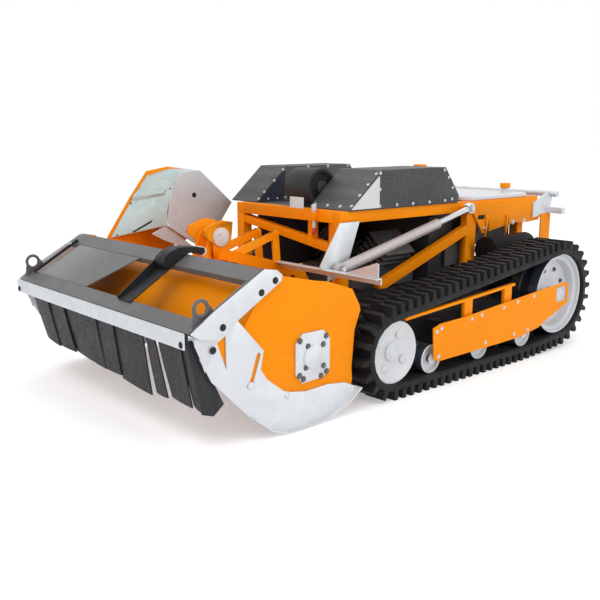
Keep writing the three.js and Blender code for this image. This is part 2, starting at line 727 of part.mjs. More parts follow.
function wheelMotor() {
  const x0 = chassis.halfWidth + GAP;
  const wheelIn = track.centreX - track.wheelHalf;
  return fuse(
    rodX(x0, x0 + motor.flangeThick, drive.y, drive.z, motor.flange, FACETS.drum),
    rodX(x0, wheelIn - GAP, drive.y, drive.z, motor.radius, FACETS.drum),
    rodX(wheelIn - OVER, track.centreX + drive.lip + OVER, drive.y, drive.z, drive.bore,
      FACETS.shaft));
}

// Deck lift: torsion shaft with two bent arms, hitch pin, cross rail, lever and the ram
const ram = {
  tube: 19, rod: 12, eye: 22, eyeHalf: 12, collar: 18, tubeStart: 14, boreStart: 70,
  tubeEnd: 520, rodStart: 250,
};
const arm = {
  hub: 36, knee: [-225, 357], nose: [-572, 455], heelWidth: 50, noseWidth: 36,
  upperFrom: [-548, 436], upperTo: [-335, 503], strutTo: [-326, 386], upperWidth: 28,
  pin: 12, cap: 32, capThick: 8,
  headSpan: { y0: -641, y1: -515, z0: 436, z1: 568 },
  headShares: [
    [0.3, 0], [0.3, 0.42], [0, 0.66], [0.09, 0.84], [0.59, 1], [0.94, 0.93], [0.88, 0.45],
    [0.74, 0.2], [0.74, 0],
  ],
};
const crossRail = { x1: 550, y0: -340, y1: -312, z0: 363, z1: 406 };
const lever = {
  x0: 298, x1: 304, top: 556, topY0: -256, topY1: -165, heelY: -211, heelZ: 436,
  toeY: -240, toeZ: 380, lipY: -346, lipZ: 420,
};

function liftArms() {
  const inner = chassis.halfWidth - chassis.wall;
  const x0 = lift.armX - lift.plate / 2;
  const x1 = lift.armX + lift.plate / 2;
  const pivot = [lift.pivotY, lift.pivotZ];
  const side = cut(
    fuse(
      barX(x0, x1, pivot, arm.knee, arm.heelWidth),
      rodX(x0, x1, ...arm.knee, arm.heelWidth / 2),
      barX(x0, x1, arm.knee, arm.nose, arm.noseWidth),
      barX(x0, x1, arm.upperFrom, arm.upperTo, arm.upperWidth),
      barX(x0, x1, arm.upperTo, arm.strutTo, arm.upperWidth),
      rodX(x0, x1, ...arm.upperTo, arm.upperWidth / 2, FACETS.small),
      plateX(outline(arm.headSpan, arm.headShares), x0, x1),
      rodX(x0, x1, ...pivot, arm.hub)),
    boreX(x0, x1, lift.pinY, lift.pinZ, arm.pin));
  return fuse(
    side, mirrored(side),
    rodX(-inner + GAP, inner - GAP, ...pivot, shaft.torsion, FACETS.shaft),
    rodX(-chassis.halfWidth, chassis.halfWidth, ...pivot, shaft.stub, FACETS.shaft));
}

function hitchPin() {
  const x = lift.armX + lift.plate / 2 + GAP;
  const cap = rodX(x, x + arm.capThick, lift.pinY, lift.pinZ, arm.cap, FACETS.drum);
  const bolt = rodX(-x - OVER, x + OVER, lift.pinY, lift.pinZ, arm.pin, FACETS.shaft);
  return fuse(bolt, cap, mirrored(cap));
}

function crossRailBody() {
  const r = crossRail;
  return block(lift.armX + lift.plate / 2 + GAP, r.x1, r.y0, r.y1, r.z0, r.z1);
}

function liftLever() {
  const l = lever;
  const seatY = crossRail.y1 + GAP;
  const seatZ = crossRail.z1 + GAP;
  const plate = plateX([
    [l.topY0, l.top], [l.lipY, l.lipZ], [l.lipY, seatZ], [seatY, seatZ],
    [seatY, crossRail.z0], [l.toeY, l.toeZ], [l.heelY, l.heelZ], [l.topY1, l.top],
  ], l.x0, l.x1);
  const pin = rodX(l.x1 - OVER, lift.rodX + ram.eyeHalf + OVER, lift.eyeY, lift.eyeZ,
    lift.pin, FACETS.pin);
  return fuse(plate, pin);
}

// The ram lies on the line from the lever's pin to the frame's pin
const ramLine = new THREE.Vector2(lift.footY - lift.eyeY, lift.footZ - lift.eyeZ);
const ramLength = ramLine.length();
const ramTilt = ramLine.angle();

function alongRam(from, to, radius, sides) {
  const geometry = new THREE.CylinderGeometry(radius, radius, to - from, sides);
  geometry.translate(0, (from + to) / 2, 0);
  geometry.rotateX(ramTilt);
  geometry.translate(lift.rodX, lift.eyeY, lift.eyeZ);
  return solid(geometry);
}

function liftCylinder() {
  const x0 = lift.rodX - ram.eyeHalf;
  const x1 = lift.rodX + ram.eyeHalf;
  return cut(
    fuse(
      alongRam(ram.tubeStart, ram.tubeEnd, ram.tube, FACETS.shaft),
      rodX(x0, x1, lift.eyeY, lift.eyeZ, ram.eye, FACETS.shaft)),
    rodX(x0 - ram.tube, x1 + ram.tube, lift.eyeY, lift.eyeZ, lift.pin + PIVOT_PLAY, FACETS.shaft),
    alongRam(ram.boreStart, ram.tubeEnd + OVER, around(ram.rod, FACETS.pin), FACETS.pin));
}

function liftRod() {
  const x0 = lift.rodX - ram.eyeHalf;
  const x1 = lift.rodX + ram.eyeHalf;
  return cut(
    fuse(
      alongRam(ram.rodStart, ramLength, ram.rod, FACETS.pin),
      rodX(x0, x1, lift.footY, lift.footZ, ram.eye, FACETS.shaft)),
    boreX(x0, x1, lift.footY, lift.footZ, lift.pin));
}

// Flail deck: orange side plates, curved skin with the hitch brackets, skids and bearings
const DECK_IN = deck.halfWidth - deck.plate;
const sidePlate = {
  span: { y0: -870, y1: -400, z0: 60, z1: 480 },
  shares: [
    [0.24, 0.976], [0.266, 1], [0.298, 0.995], [0.323, 0.952], [0.609, 0.881],
    [0.711, 0.862], [0.923, 0.781], [0.991, 0.652], [1, 0.614], [0.947, 0.471],
    [0.924, 0.195], [0.93, 0.102], [0.91, 0], [0.362, 0], [0.085, 0.14],
    [0, 0.36], [0, 0.548], [0.043, 0.643], [0.17, 0.857],
  ],
};
const tower = {
  span: { y0: -690, y1: -160, z0: 395, z1: 725 }, motorY: -403, motorZ: 600,
  shares: [
    [0, 0.136], [0.026, 0.227], [0.209, 0.645], [0.36, 0.955], [0.54, 1], [0.694, 0.97],
    [0.983, 0.576], [0.817, 0.2], [0.65, 0.064], [0.47, 0], [0.245, 0.076],
  ],
};
const guard = {
  depth: 114, plate: 4,
  span: { y0: -482, y1: -169, z0: 416, z1: 712 }, holeY: -353, holeZ: 616, hole: 10,
  shares: [
    [0, 0.304], [0.077, 0.764], [0.243, 0.983], [0.511, 1], [1, 0.547], [0.719, 0.152],
    [0.434, 0],
  ],
  wrap: { y0: -622, y1: -322, z0: 462, z1: 716 },
  outerShares: [[0, 0], [0.143, 0.327], [0.467, 0.701], [0.73, 0.984], [0.973, 1]],
  innerShares: [[0.467, 0.173], [0.507, 0.441], [0.547, 0.709], [0.72, 0.965], [1, 0.984]],
};
const skinLine = {
  span: { y0: -868, y1: -430, z0: 150, z1: 438 },
  shares: [
    [0, 0.521], [0.053, 0.677], [0.155, 0.851], [0.28, 0.965], [0.42, 1], [0.612, 0.93],
    [0.795, 0.875], [0.943, 0.764], [1, 0.608], [0.984, 0.347], [0.975, 0],
  ],
};
const bracket = {
  x0: 28, x1: 38, span: { y0: -635, y1: -515, z0: 396, z1: 548 },
  shares: [[0, 0.18], [0.24, 0.72], [0.4, 0.97], [0.6, 0.97], [0.8, 0.66], [1, 0.02]],
};
const stiffener = { y: -448, z: 140, radius: 14 };
const skid = {
  plate: 5, soleOut: 31, span: { y0: -999, y1: -417, z0: 0, z1: 359 },
  shares: [
    [0, 0.752], [0.084, 0.88], [0.21, 1], [0.366, 0.716], [0.347, 0.568], [0.388, 0.474],
    [0.49, 0.348], [0.534, 0.323], [0.634, 0.295], [0.787, 0.304], [0.909, 0.279],
    [1, 0.212], [0.912, 0.109], [0.838, 0.072], [0.759, 0.022], [0.629, 0], [0.495, 0],
    [0.387, 0.061], [0.277, 0.203], [0.172, 0.379], [0.062, 0.56],
  ],
  soleShares: [
    [0.277, 0.203], [0.387, 0.061], [0.495, 0], [0.629, 0], [0.759, 0.022],
    [0.838, 0.072], [0.912, 0.109], [1, 0.212],
  ],
  windowShares: [[0.144, 0.896], [0.095, 0.852], [0.146, 0.627]],
  slotTop: [-804, 248], slotBottom: [-833, 165], slotRadius: 7, stud: 6, head: 12,
  headThick: 3,
};
const bearing = {
  span: { y0: -669, y1: -534, z0: 132, z1: 282 }, plate: 6, boss: 36, bossOut: 13,
  shaftOut: 9, ring: 50,
  shares: [
    [0.2, 0], [0.8, 0.03], [1, 0.2], [1, 0.8], [0.8, 1], [0.2, 1], [0, 0.8], [0, 0.2],
  ],
};
const rotor = {
  tubeInset: 24, flails: 10, flailWidth: 46, flailThick: 12, turn: 2.4, inset: 30,
};
const pulley = {
  reach: 27, width: 18, flange: 3, upper: 42, lower: 58, rim: 7, belt: 8, beltStep: 24,
  shaft: 14, shaftDepth: 29, body: 48, bodyDepth: 104,
};
const beltCase = { reach: 35, wall: 2.5, room: 12 };
const SHAFT_END = deck.halfWidth + bearing.shaftOut;
const PULLEY_X0 = -deck.halfWidth - pulley.reach;
const PULLEY_X1 = PULLEY_X0 + pulley.width;

function deckSide(isRight) {
  const s = sidePlate;
  const studX = deck.halfWidth + GAP + skid.plate + GAP;
  let plate = plateX(outline(s.span, s.shares), DECK_IN, deck.halfWidth);
  if (isRight) plate = fuse(plate, plateX(outline(tower.span, tower.shares), DECK_IN, deck.halfWidth));
  const stud = fuse(
    rodX(DECK_IN, studX + OVER / 2, ...skid.slotBottom, skid.stud, FACETS.pin),
    rodX(studX, studX + skid.headThick, ...skid.slotBottom, skid.head, FACETS.pin));
  const holes = [
    boreX(DECK_IN, deck.halfWidth, deck.rotorY, deck.rotorZ, deck.shaft),
    boreX(DECK_IN, deck.halfWidth, deck.hingeY, deck.hingeZ, flapArm.pin),
  ];
  if (isRight) {
    holes.push(boreX(DECK_IN, deck.halfWidth, tower.motorY, tower.motorZ, pulley.shaft));
  }
  const body = fuse(cut(plate, holes), stud);
  return isRight ? mirrored(body) : body;
}

// A sheet that runs from one bent line to another, between two planes of X
function loftX(pointsA, xA, pointsB, xB) {
  const positions = [];
  const a = pointsA.map(([y, z]) => [xA, y, z]);
  const b = pointsB.map(([y, z]) => [xB, y, z]);
  const face = (p, q, r) => positions.push(...p, ...q, ...r);
  const cap = (points, flip) => {
    const flat = points.map(([, y, z]) => new THREE.Vector2(y, z));
    for (const [i, j, k] of THREE.ShapeUtils.triangulateShape(flat, [])) {
      if (flip) face(points[i], points[k], points[j]);
      else face(points[i], points[j], points[k]);
    }
  };
  cap(a, true);
  cap(b, false);
  for (let i = 0; i < a.length; i += 1) {
    const n = (i + 1) % a.length;
    face(a[i], a[n], b[n]);
    face(a[i], b[n], b[i]);
  }
  const geometry = new THREE.BufferGeometry();
  geometry.setAttribute('position', new THREE.Float32BufferAttribute(positions, 3));
  return solid(geometry);
}

function counterclockwise(points) {
  return THREE.ShapeUtils.area(points.map(([y, z]) => new THREE.Vector2(y, z))) < 0
    ? points.slice().reverse() : points;
}

function towerGuard() {
  const g = guard;
  const x1 = g.depth - deck.halfWidth;
  const face = cut(
    plateX(outline(g.span, g.shares), x1 - g.plate, x1),
    rodX(x1 - g.plate - OVER, x1 + OVER, g.holeY, g.holeZ, g.hole, FACETS.shaft));
  const outer = sheetPoints(outline(g.wrap, g.outerShares), g.plate);
  const inner = sheetPoints(outline(g.wrap, g.innerShares), g.plate);
  const wrap = loftX(
    counterclockwise(outer), -DECK_IN + GAP, counterclockwise(inner), x1 - g.plate / 2);
  return fuse(face, wrap);
}

function deckShell() {
  const x = DECK_IN - GAP;
  const skin = plateX(sheetPoints(outline(skinLine.span, skinLine.shares), deck.skin), -x, x);
  const ear = cut(
    plateX(outline(bracket.span, bracket.shares), bracket.x0, bracket.x1),
    boreX(bracket.x0, bracket.x1, lift.pinY, lift.pinZ, arm.pin));
  return fuse(skin, rodX(-x, x, stiffener.y, stiffener.z, stiffener.radius, FACETS.pin),
    ear, mirrored(ear));
}

function skidBody() {
  const k = skid;
  const x0 = deck.halfWidth + GAP;
  const plate = cut(
    plateX(outline(k.span, k.shares), x0, x0 + k.plate),
    plateX(outline(k.span, k.windowShares), x0 - OVER, x0 + k.plate + OVER),
    slotX(x0 - OVER, x0 + k.plate + OVER, k.slotTop, k.slotBottom, k.slotRadius));
  const sole = plateX(sheetPoints(outline(k.span, k.soleShares), -k.plate), x0,
    deck.halfWidth + k.soleOut);
  return fuse(plate, sole);
}

function bearingCover() {
  const b = bearing;
  const x0 = deck.halfWidth + GAP;
  return cut(
    fuse(
      plateX(outline(b.span, b.shares), x0, x0 + b.plate),
      rodX(x0, deck.halfWidth + b.bossOut, deck.rotorY, deck.rotorZ, b.boss, FACETS.drum)),
    boreX(x0, SHAFT_END + GAP - OVER, deck.rotorY, deck.rotorZ, deck.shaft));
}

function bearingRing() {
  const x0 = deck.halfWidth + GAP;
  return mirrored(cut(
    rodX(x0, x0 + bearing.plate, deck.rotorY, deck.rotorZ, bearing.ring, FACETS.drum),
    boreX(x0, x0 + bearing.plate, deck.rotorY, deck.rotorZ, deck.shaft)));
}

function grooved(radius, y, z) {
  const p = pulley;
  const half = p.width / 2;
  return wheel([
    [0, -half], [radius + p.rim, -half], [radius + p.rim, -half + p.flange],
    [radius, -half + p.flange], [radius, half - p.flange], [radius + p.rim, half - p.flange],
    [radius + p.rim, half], [0, half],
  ], PULLEY_X0 + half, y, z, FACETS.drum);
}

function flailRotor() {
  const r = rotor;
  const tubeX = deck.halfWidth - r.tubeInset;
  const step = (tubeX - r.inset) / (r.flails - 1);
  const flails = Array.from({ length: r.flails }, (unused, i) => {
    const x = r.inset - tubeX + i * (step + step);
    const blade = new THREE.BoxGeometry(r.flailWidth, deck.flailTip, r.flailThick);
    blade.translate(0, deck.flailTip / 2, 0);
    blade.rotateX(i * r.turn);
    blade.translate(x, deck.rotorY, deck.rotorZ);
    return solid(blade);
  });
  return fuse(
    rodX(PULLEY_X0 + OVER, SHAFT_END, deck.rotorY, deck.rotorZ, deck.shaft, FACETS.shaft),
    rodX(-tubeX, tubeX, deck.rotorY, deck.rotorZ, deck.tube, FACETS.shaft),
    grooved(pulley.lower, deck.rotorY, deck.rotorZ), flails);
}

function drivePulley() {
  return fuse(
    grooved(pulley.upper, tower.motorY, tower.motorZ),
    rodX(PULLEY_X0 + OVER, pulley.shaftDepth - deck.halfWidth, tower.motorY, tower.motorZ,
      pulley.shaft, FACETS.shaft));
}

function deckMotor() {
  return cut(
    rodX(-DECK_IN + GAP, pulley.bodyDepth - deck.halfWidth, tower.motorY, tower.motorZ,
      pulley.body, FACETS.drum),
    boreX(-DECK_IN, pulley.shaftDepth - deck.halfWidth + GAP - OVER, tower.motorY,
      tower.motorZ, pulley.shaft));
}

const beltCircles = (extra) => [
  { y: deck.rotorY, z: deck.rotorZ, r: pulley.lower + extra },
  { y: tower.motorY, z: tower.motorZ, r: pulley.upper + extra },
];

function driveBelt() {
  const pieces = beltPath(beltCircles(GAP));
  const x0 = PULLEY_X0 + pulley.flange + GAP;
  const x1 = PULLEY_X1 - pulley.flange - GAP;
  return cut(
    plateX(loopPoints(pieces, pulley.belt, pulley.beltStep), x0, x1),
    plateX(loopPoints(pieces, 0, pulley.beltStep), x0 - OVER, x1 + OVER));
}

function beltCaseShell() {
  const c = beltCase;
  const pieces = beltPath(beltCircles(pulley.belt + c.room));
  const x0 = -deck.halfWidth - c.reach;
  return cut(
    plateX(loopPoints(pieces, c.wall, pulley.upper), x0, -deck.halfWidth - GAP),
    plateX(loopPoints(pieces, 0, pulley.upper), x0 + c.wall, -deck.halfWidth + OVER));
}

// Flap frame: sloping sheet frame, side arms, clamp strip and the rubber flaps
const flap = {
  frontY: -1032, frontZ: 340, backY: -780, backZ: 487, inset: 3, sheet: 5, lead: 4.5,
  beam: 58, beamDepth: 22, capOut: 6.7, edge: 10, stripInset: 4, stripY0: -1040,
  strip: 3, rubber: 8, stripTop: 345, stripBottom: 300, flangeInset: 18,
  panelFrontShare: 0.385, panelBackShare: 0.467,
  slotNearShare: 0.056, slotFrontShare: 0.09, slotBackShare: 0.085,
  barFrontX: 101, barFrontY: 24, barKneeX: 55, barKneeY: 242, barTailX: 62, barTailY: 285,
  barWidth: 30, barThick: 8, eyeX: 150, eyeY: 344, eyeZ: -28, eyeRadius: 16, eyeHole: 8,
  ringInset: 11, ringY: 70, ringZ: 31, ringRadius: 22, ringWire: 4.5, foot: 10,
};
const flapArm = {
  reach: 7, plate: 5, pin: 8, span: { y0: -1029, y1: -722, z0: 316, z1: 487 },
  shares: [
    [0, 0.158], [0.231, 0.433], [0.801, 1], [0.938, 0.96], [1, 0.87], [0.984, 0.77],
    [0.775, 0.55], [0.495, 0.251], [0.257, 0], [0.09, 0.05],
  ],
};
const curtain = {
  top: 342, foldZ: 298, tipY: -955, tipFar: 126, tipNear: 103, sideInset: 7, gap: 3,
  sideTip: 106, sideHeel: 119, sideWide: 45, sideTop: 20, kneeShare: 0.45, bulge: 7,
  edgeShares: [
    0.007, 0.126, 0.246, 0.339, 0.432, 0.536, 0.629, 0.711, 0.79, 0.91, 0.994,
  ],
};

const flapSlope = Math.atan2(flap.backZ - flap.frontZ, flap.backY - flap.frontY);
const flapRun = Math.hypot(flap.backZ - flap.frontZ, flap.backY - flap.frontY);

// From the sloping frame's own plane to the machine
function onFlapPlane(body) {
  const matrix = new THREE.Matrix4().makeRotationX(flapSlope);
  matrix.setPosition(0, flap.frontY, flap.frontZ);
  return moved(body, matrix);
}

function flapFrame() {
  const f = flap;
  const y0 = f.lead;
  const halfX = deck.halfWidth - f.inset;
  const hole1 = f.beam;
  const hole2 = flapRun - f.beam;
  const across = (share) => (share + share - 1) * halfX;
  const sheet = cut(
    block(-halfX, halfX, y0, flapRun, -f.sheet, 0),
    plateZ([
      [across(f.panelFrontShare), hole1], [halfX - f.edge, hole1], [halfX - f.edge, hole2],
      [across(f.panelBackShare), hole2],
    ], -f.sheet - OVER, OVER),
    plateZ([
      [across(f.slotNearShare), hole1], [across(f.slotFrontShare), hole1],
      [across(f.slotBackShare), hole2], [across(f.slotNearShare), hole2],
    ], -f.sheet - OVER, OVER));
  const beams = [
    block(-halfX, halfX, y0 + f.beamDepth / 2, hole1, -f.beamDepth, -f.sheet / 2),
    block(-halfX, halfX, hole2, flapRun, -f.beamDepth, -f.sheet / 2),
  ];
  const capX = deck.halfWidth + f.capOut;
  const cap = (ya, yb) => block(halfX - OVER, capX, ya, yb, -f.beamDepth, 0);
  const caps = [cap(y0 + f.beamDepth, hole1), cap(hole2, flapRun - f.edge)];
  const half = f.barWidth / 2;
  const barRun = (xa, ya, xb, yb) => plateZ(
    [[xa - half, ya], [xa + half, ya], [xb + half, yb], [xb - half, yb]],
    -f.sheet / 2, f.barThick);
  const bar = [
    barRun(f.barFrontX, f.barFrontY, f.barKneeX, f.barKneeY),
    barRun(f.barKneeX, f.barKneeY, f.barTailX, f.barTailY),
  ];
  const tail = fuse(
    block(f.barTailX, f.eyeX, f.barTailY - f.barWidth, f.barTailY, -f.sheet / 2, f.barThick),
    barX(f.eyeX - half, f.eyeX, [f.barTailY - half, 0], [f.eyeY, f.eyeZ], f.eyeRadius),
    rodX(f.eyeX - half, f.eyeX, f.eyeY, f.eyeZ, f.eyeRadius));
  const eyeHole = rodX(f.eyeX - f.barWidth, f.eyeX + OVER, f.eyeY, f.eyeZ, f.eyeHole,
    FACETS.small);
  const ringX = deck.halfWidth - f.ringInset;
  const ring = new THREE.TorusGeometry(f.ringRadius, f.ringWire, FACETS.small, FACETS.shaft);
  ring.rotateY(Math.PI / 2);
  ring.translate(ringX, f.ringY, f.ringZ);
  const liftEye = fuse(
    solid(ring),
    rodZ(ringX, f.ringY, -f.sheet / 2, f.ringZ - f.ringRadius + OVER, f.foot, FACETS.small));
  const plane = fuse(
    sheet, beams, caps, caps.map(mirrored), bar, cut(tail, eyeHole),
    liftEye, mirrored(liftEye));
  const flangeX = deck.halfWidth - f.flangeInset;
  const flangeY = f.stripY0 + f.strip + f.rubber + GAP + GAP;
  const flange = block(-flangeX, flangeX, flangeY, flangeY + f.sheet,
    f.stripBottom, f.frontZ + f.lead);
  return fuse(onFlapPlane(plane), flange);
}

function flapStrip() {
  const f = flap;
  const x = deck.halfWidth - f.stripInset;
  return block(-x, x, f.stripY0, f.stripY0 + f.strip, f.stripBottom, f.stripTop);
}

function flapArmPlate() {
  const a = flapArm;
  const x0 = deck.halfWidth + a.reach;
  return fuse(
    plateX(outline(a.span, a.shares), x0, x0 + a.plate),
    rodX(DECK_IN - OVER, x0 + OVER, deck.hingeY, deck.hingeZ, a.pin, FACETS.pin));
}

function flapCurtain() {
  const c = curtain;
  const y0 = flap.stripY0 + flap.strip + GAP;
  const y1 = y0 + flap.rubber;
  const edges = c.edgeShares.map((share) => (share + share - 1) * deck.halfWidth);
  const head = block(edges[0], edges.at(-1), y0, y1, c.foldZ - flap.rubber, c.top);
  const flaps = edges.slice(1).map((x1, i) => {
    const x0 = edges[i] + (i ? c.gap : 0);
    const tip = c.tipFar + c.edgeShares[i] * (c.tipNear - c.tipFar);
    const kneeY = y0 + c.kneeShare * (c.tipY - y0) - c.bulge;
    const kneeZ = c.foldZ + c.kneeShare * (tip - c.foldZ);
    const line = [[y0, c.foldZ], [kneeY, kneeZ], [c.tipY, tip]];
    return plateX(sheetPoints(line, -flap.rubber), x0, x1);
  });
  const sideX = deck.halfWidth - c.sideInset;
  const side = plateX([
    [y0, c.foldZ + flap.rubber], [y0, c.foldZ], [c.tipY, c.sideTip],
    [c.tipY + c.sideWide, c.sideHeel], [c.tipY + c.sideTop, c.foldZ + flap.rubber],
  ], sideX - flap.rubber, sideX);
  return fuse(head, flaps, side, mirrored(side));
}

pair('track_belt', trackBelt(), 'rubber');
pair('idler', idlerWheel(), 'white');
pair('drive_wheel', driveWheel(), 'steel');
roller.places.forEach((y, i) => pair(`roller_${i + 1}`, roadRoller(y), 'steel'));
pair('track_frame', trackFrame(), 'orange');
pair('track_cover', trackCover(), 'orange');
pair('wheel_motor', wheelMotor(), 'steel');
place('chassis_tub', chassisTub(), 'black');
place('front_frame', frontFrame(), 'orange');
place('pull_pin', pullPin(), 'red');
place('side_rail_left', sideRail(true), 'orange');
place('side_rail_right', mirrored(sideRail(false)), 'orange');
pair('side_brace', sideBrace(), 'orange');
place('rear_frame', rearFrame(), 'orange');
place('rear_bumper', rearBumper(), 'zinc');
place('top_panel', topPanel(), 'charcoal');
place('hood_left', hoodShell(hood.near), 'charcoal');
place('hood_right', hoodShell(hood.far), 'charcoal');
place('fan_housing', fanHousing(), 'charcoal');
place('engine_block', engineBlock(), 'steel');
place('twin_tank', twinTank(), 'zinc');
place('fuel_cap', neckCap(tank.fuelX, tank.fuelY, tank.fuelNeck, tank.fuelTop,
  tank.fuelCap, tank.capHeight), 'orange');
place('oil_cap', neckCap(tank.oilX, tank.oilY, tank.oilNeck, tank.oilTop,
  tank.oilCap, tank.oilCapHeight), 'orange');
place('muffler', mufflerBody(), 'black');
place('lift_arms', liftArms(), 'orange');
place('cross_rail', crossRailBody(), 'zinc');
place('lift_lever', liftLever(), 'zinc');
place('hitch_pin', hitchPin(), 'white');
place('lift_cylinder', liftCylinder(), 'steel');
place('lift_rod', liftRod(), 'steel');
place('deck_shell', deckShell(), 'orange');
place('deck_side_left', deckSide(false), 'orange');
place('deck_side_right', deckSide(true), 'orange');
place('tower_guard', towerGuard(), 'zinc');
pair('skid', skidBody(), 'zinc');
place('bearing_cover_left', bearingCover(), 'zinc');
place('bearing_cover_right', bearingRing(), 'zinc');
place('flail_rotor', flailRotor(), 'steel');
place('deck_motor', deckMotor(), 'black');
place('drive_pulley', drivePulley(), 'steel');
place('drive_belt', driveBelt(), 'rubber');
place('belt_case', beltCaseShell(), 'orange');
place('flap_frame', flapFrame(), 'charcoal');
pair('flap_arm', flapArmPlate(), 'zinc');
place('flap_strip', flapStrip(), 'zinc');
place('flap_curtain', flapCurtain(), 'rubber');

export default group;
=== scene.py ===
"""Looks of a remote control slope mower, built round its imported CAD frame.

Metres, +Z up, the front is -Y and the machine's left side is +X.
"""

import json
import math
import random

import bmesh
import bpy
from mathutils import Matrix, Vector


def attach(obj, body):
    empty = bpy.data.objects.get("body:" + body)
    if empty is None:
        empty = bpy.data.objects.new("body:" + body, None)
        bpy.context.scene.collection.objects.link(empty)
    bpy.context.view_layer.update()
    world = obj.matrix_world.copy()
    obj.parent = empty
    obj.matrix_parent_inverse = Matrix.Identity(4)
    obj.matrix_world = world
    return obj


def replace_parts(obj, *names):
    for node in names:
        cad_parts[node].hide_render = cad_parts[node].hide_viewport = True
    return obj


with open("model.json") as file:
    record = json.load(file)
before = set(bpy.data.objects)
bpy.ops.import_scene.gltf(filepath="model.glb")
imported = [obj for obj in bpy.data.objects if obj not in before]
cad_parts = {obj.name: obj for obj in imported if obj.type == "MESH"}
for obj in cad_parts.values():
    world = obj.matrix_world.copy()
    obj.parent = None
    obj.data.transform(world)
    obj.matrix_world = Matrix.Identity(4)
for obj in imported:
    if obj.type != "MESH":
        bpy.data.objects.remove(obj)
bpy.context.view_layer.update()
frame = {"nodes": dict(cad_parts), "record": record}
NODES = frame["nodes"]
MM = 0.001
SIDES = (("left", 1), ("right", -1))
rand = random.Random(7)


# ---- Camera, light and floor
PHOTO_SIDE = 600.0
FOCAL_PIXELS = 794.3
SENSOR = 36.0
CAMERA_AT = (2.22476, -2.11509, 0.83827)
CAMERA_AZIMUTH = 48.81
CAMERA_PITCH = 11.56
SHIFT_X = -0.0016

camera_data = bpy.data.cameras.new("camera")
camera_data.sensor_width = SENSOR
camera_data.lens = FOCAL_PIXELS / PHOTO_SIDE * SENSOR
camera_data.shift_x = SHIFT_X
camera_data.clip_start = 0.05
camera_data.clip_end = 100.0
camera = bpy.data.objects.new("camera", camera_data)
camera.location = CAMERA_AT
camera.rotation_euler = (math.radians(90 - CAMERA_PITCH), 0, math.radians(CAMERA_AZIMUTH))
bpy.context.scene.collection.objects.link(camera)
bpy.context.scene.camera = camera
bpy.context.scene.view_settings.view_transform = "Standard"


def area_light(name, place, target, size, power):
    """A square lamp that points at a target."""
    data = bpy.data.lights.new(name, "AREA")
    data.size = size
    data.energy = power
    lamp = bpy.data.objects.new(name, data)
    lamp.location = place
    lamp.rotation_euler = (Vector(target) - Vector(place)).to_track_quat("-Z", "Y").to_euler()
    bpy.context.scene.collection.objects.link(lamp)


# Each lamp: name, place, the place it points at, size in metres, power in watts
LAMPS = [
    ("key", (1.6, -2.6, 3.6), (0, -0.1, 0.3), 2.6, 42),
    ("side", (4.2, 1.0, 2.2), (0, 0.2, 0.3), 2.4, 34),
    ("top", (-1.5, 1.0, 4.0), (0, 0, 0.3), 3.0, 26),
]
for lamp_row in LAMPS:
    area_light(*lamp_row)

WORLD_LIGHT = 0.76
WORLD_SEEN = 1.0
FLOOR_GLOW = 0.34
FLOOR_HALF = 30.0
FLOOR_GREY = 0.90


def seen_directly(tree):
    """A value that is one where a ray comes from the camera, a mirror or glass."""
    path = tree.nodes.new("ShaderNodeLightPath")
    first = tree.nodes.new("ShaderNodeMath")
    first.operation = "MAXIMUM"
    tree.links.new(path.outputs["Is Camera Ray"], first.inputs[0])
    tree.links.new(path.outputs["Is Glossy Ray"], first.inputs[1])
    second = tree.nodes.new("ShaderNodeMath")
    second.operation = "MAXIMUM"
    tree.links.new(first.outputs[0], second.inputs[0])
    tree.links.new(path.outputs["Is Transmission Ray"], second.inputs[1])
    return second.outputs[0]


world = bpy.data.worlds.new("world")
world.use_nodes = True
bpy.context.scene.world = world
sky = world.node_tree
background = sky.nodes["Background"]
level = sky.nodes.new("ShaderNodeMapRange")
level.inputs["To Min"].default_value = WORLD_LIGHT
level.inputs["To Max"].default_value = WORLD_SEEN
sky.links.new(seen_directly(sky), level.inputs["Value"])
sky.links.new(level.outputs[0], background.inputs["Strength"])
background.inputs["Color"].default_value = (1, 1, 1, 1)


def make_floor():
    """A wide pale floor that keeps the shadow and looks as white as the background."""
    half = FLOOR_HALF
    mesh = bpy.data.meshes.new("floor")
    corners = [(-half, -half, 0), (half, -half, 0), (half, half, 0), (-half, half, 0)]
    mesh.from_pydata(corners, [], [(0, 1, 2, 3)])
    floor = bpy.data.objects.new("floor", mesh)
    bpy.context.scene.collection.objects.link(floor)
    paint = bpy.data.materials.new("floor")
    paint.use_nodes = True
    tree = paint.node_tree
    bsdf = tree.nodes["Principled BSDF"]
    bsdf.inputs["Base Color"].default_value = (FLOOR_GREY, FLOOR_GREY, FLOOR_GREY, 1)
    bsdf.inputs["Roughness"].default_value = 1.0
    bsdf.inputs["Specular IOR Level"].default_value = 0.0
    bsdf.inputs["Emission Color"].default_value = (1, 1, 1, 1)
    glow = tree.nodes.new("ShaderNodeMath")
    glow.operation = "MULTIPLY"
    glow.inputs[1].default_value = FLOOR_GLOW
    tree.links.new(seen_directly(tree), glow.inputs[0])
    tree.links.new(glow.outputs[0], bsdf.inputs["Emission Strength"])
    mesh.materials.append(paint)


make_floor()


# ---- Materials
def colour(*rgb):
    return (*rgb, 1.0)


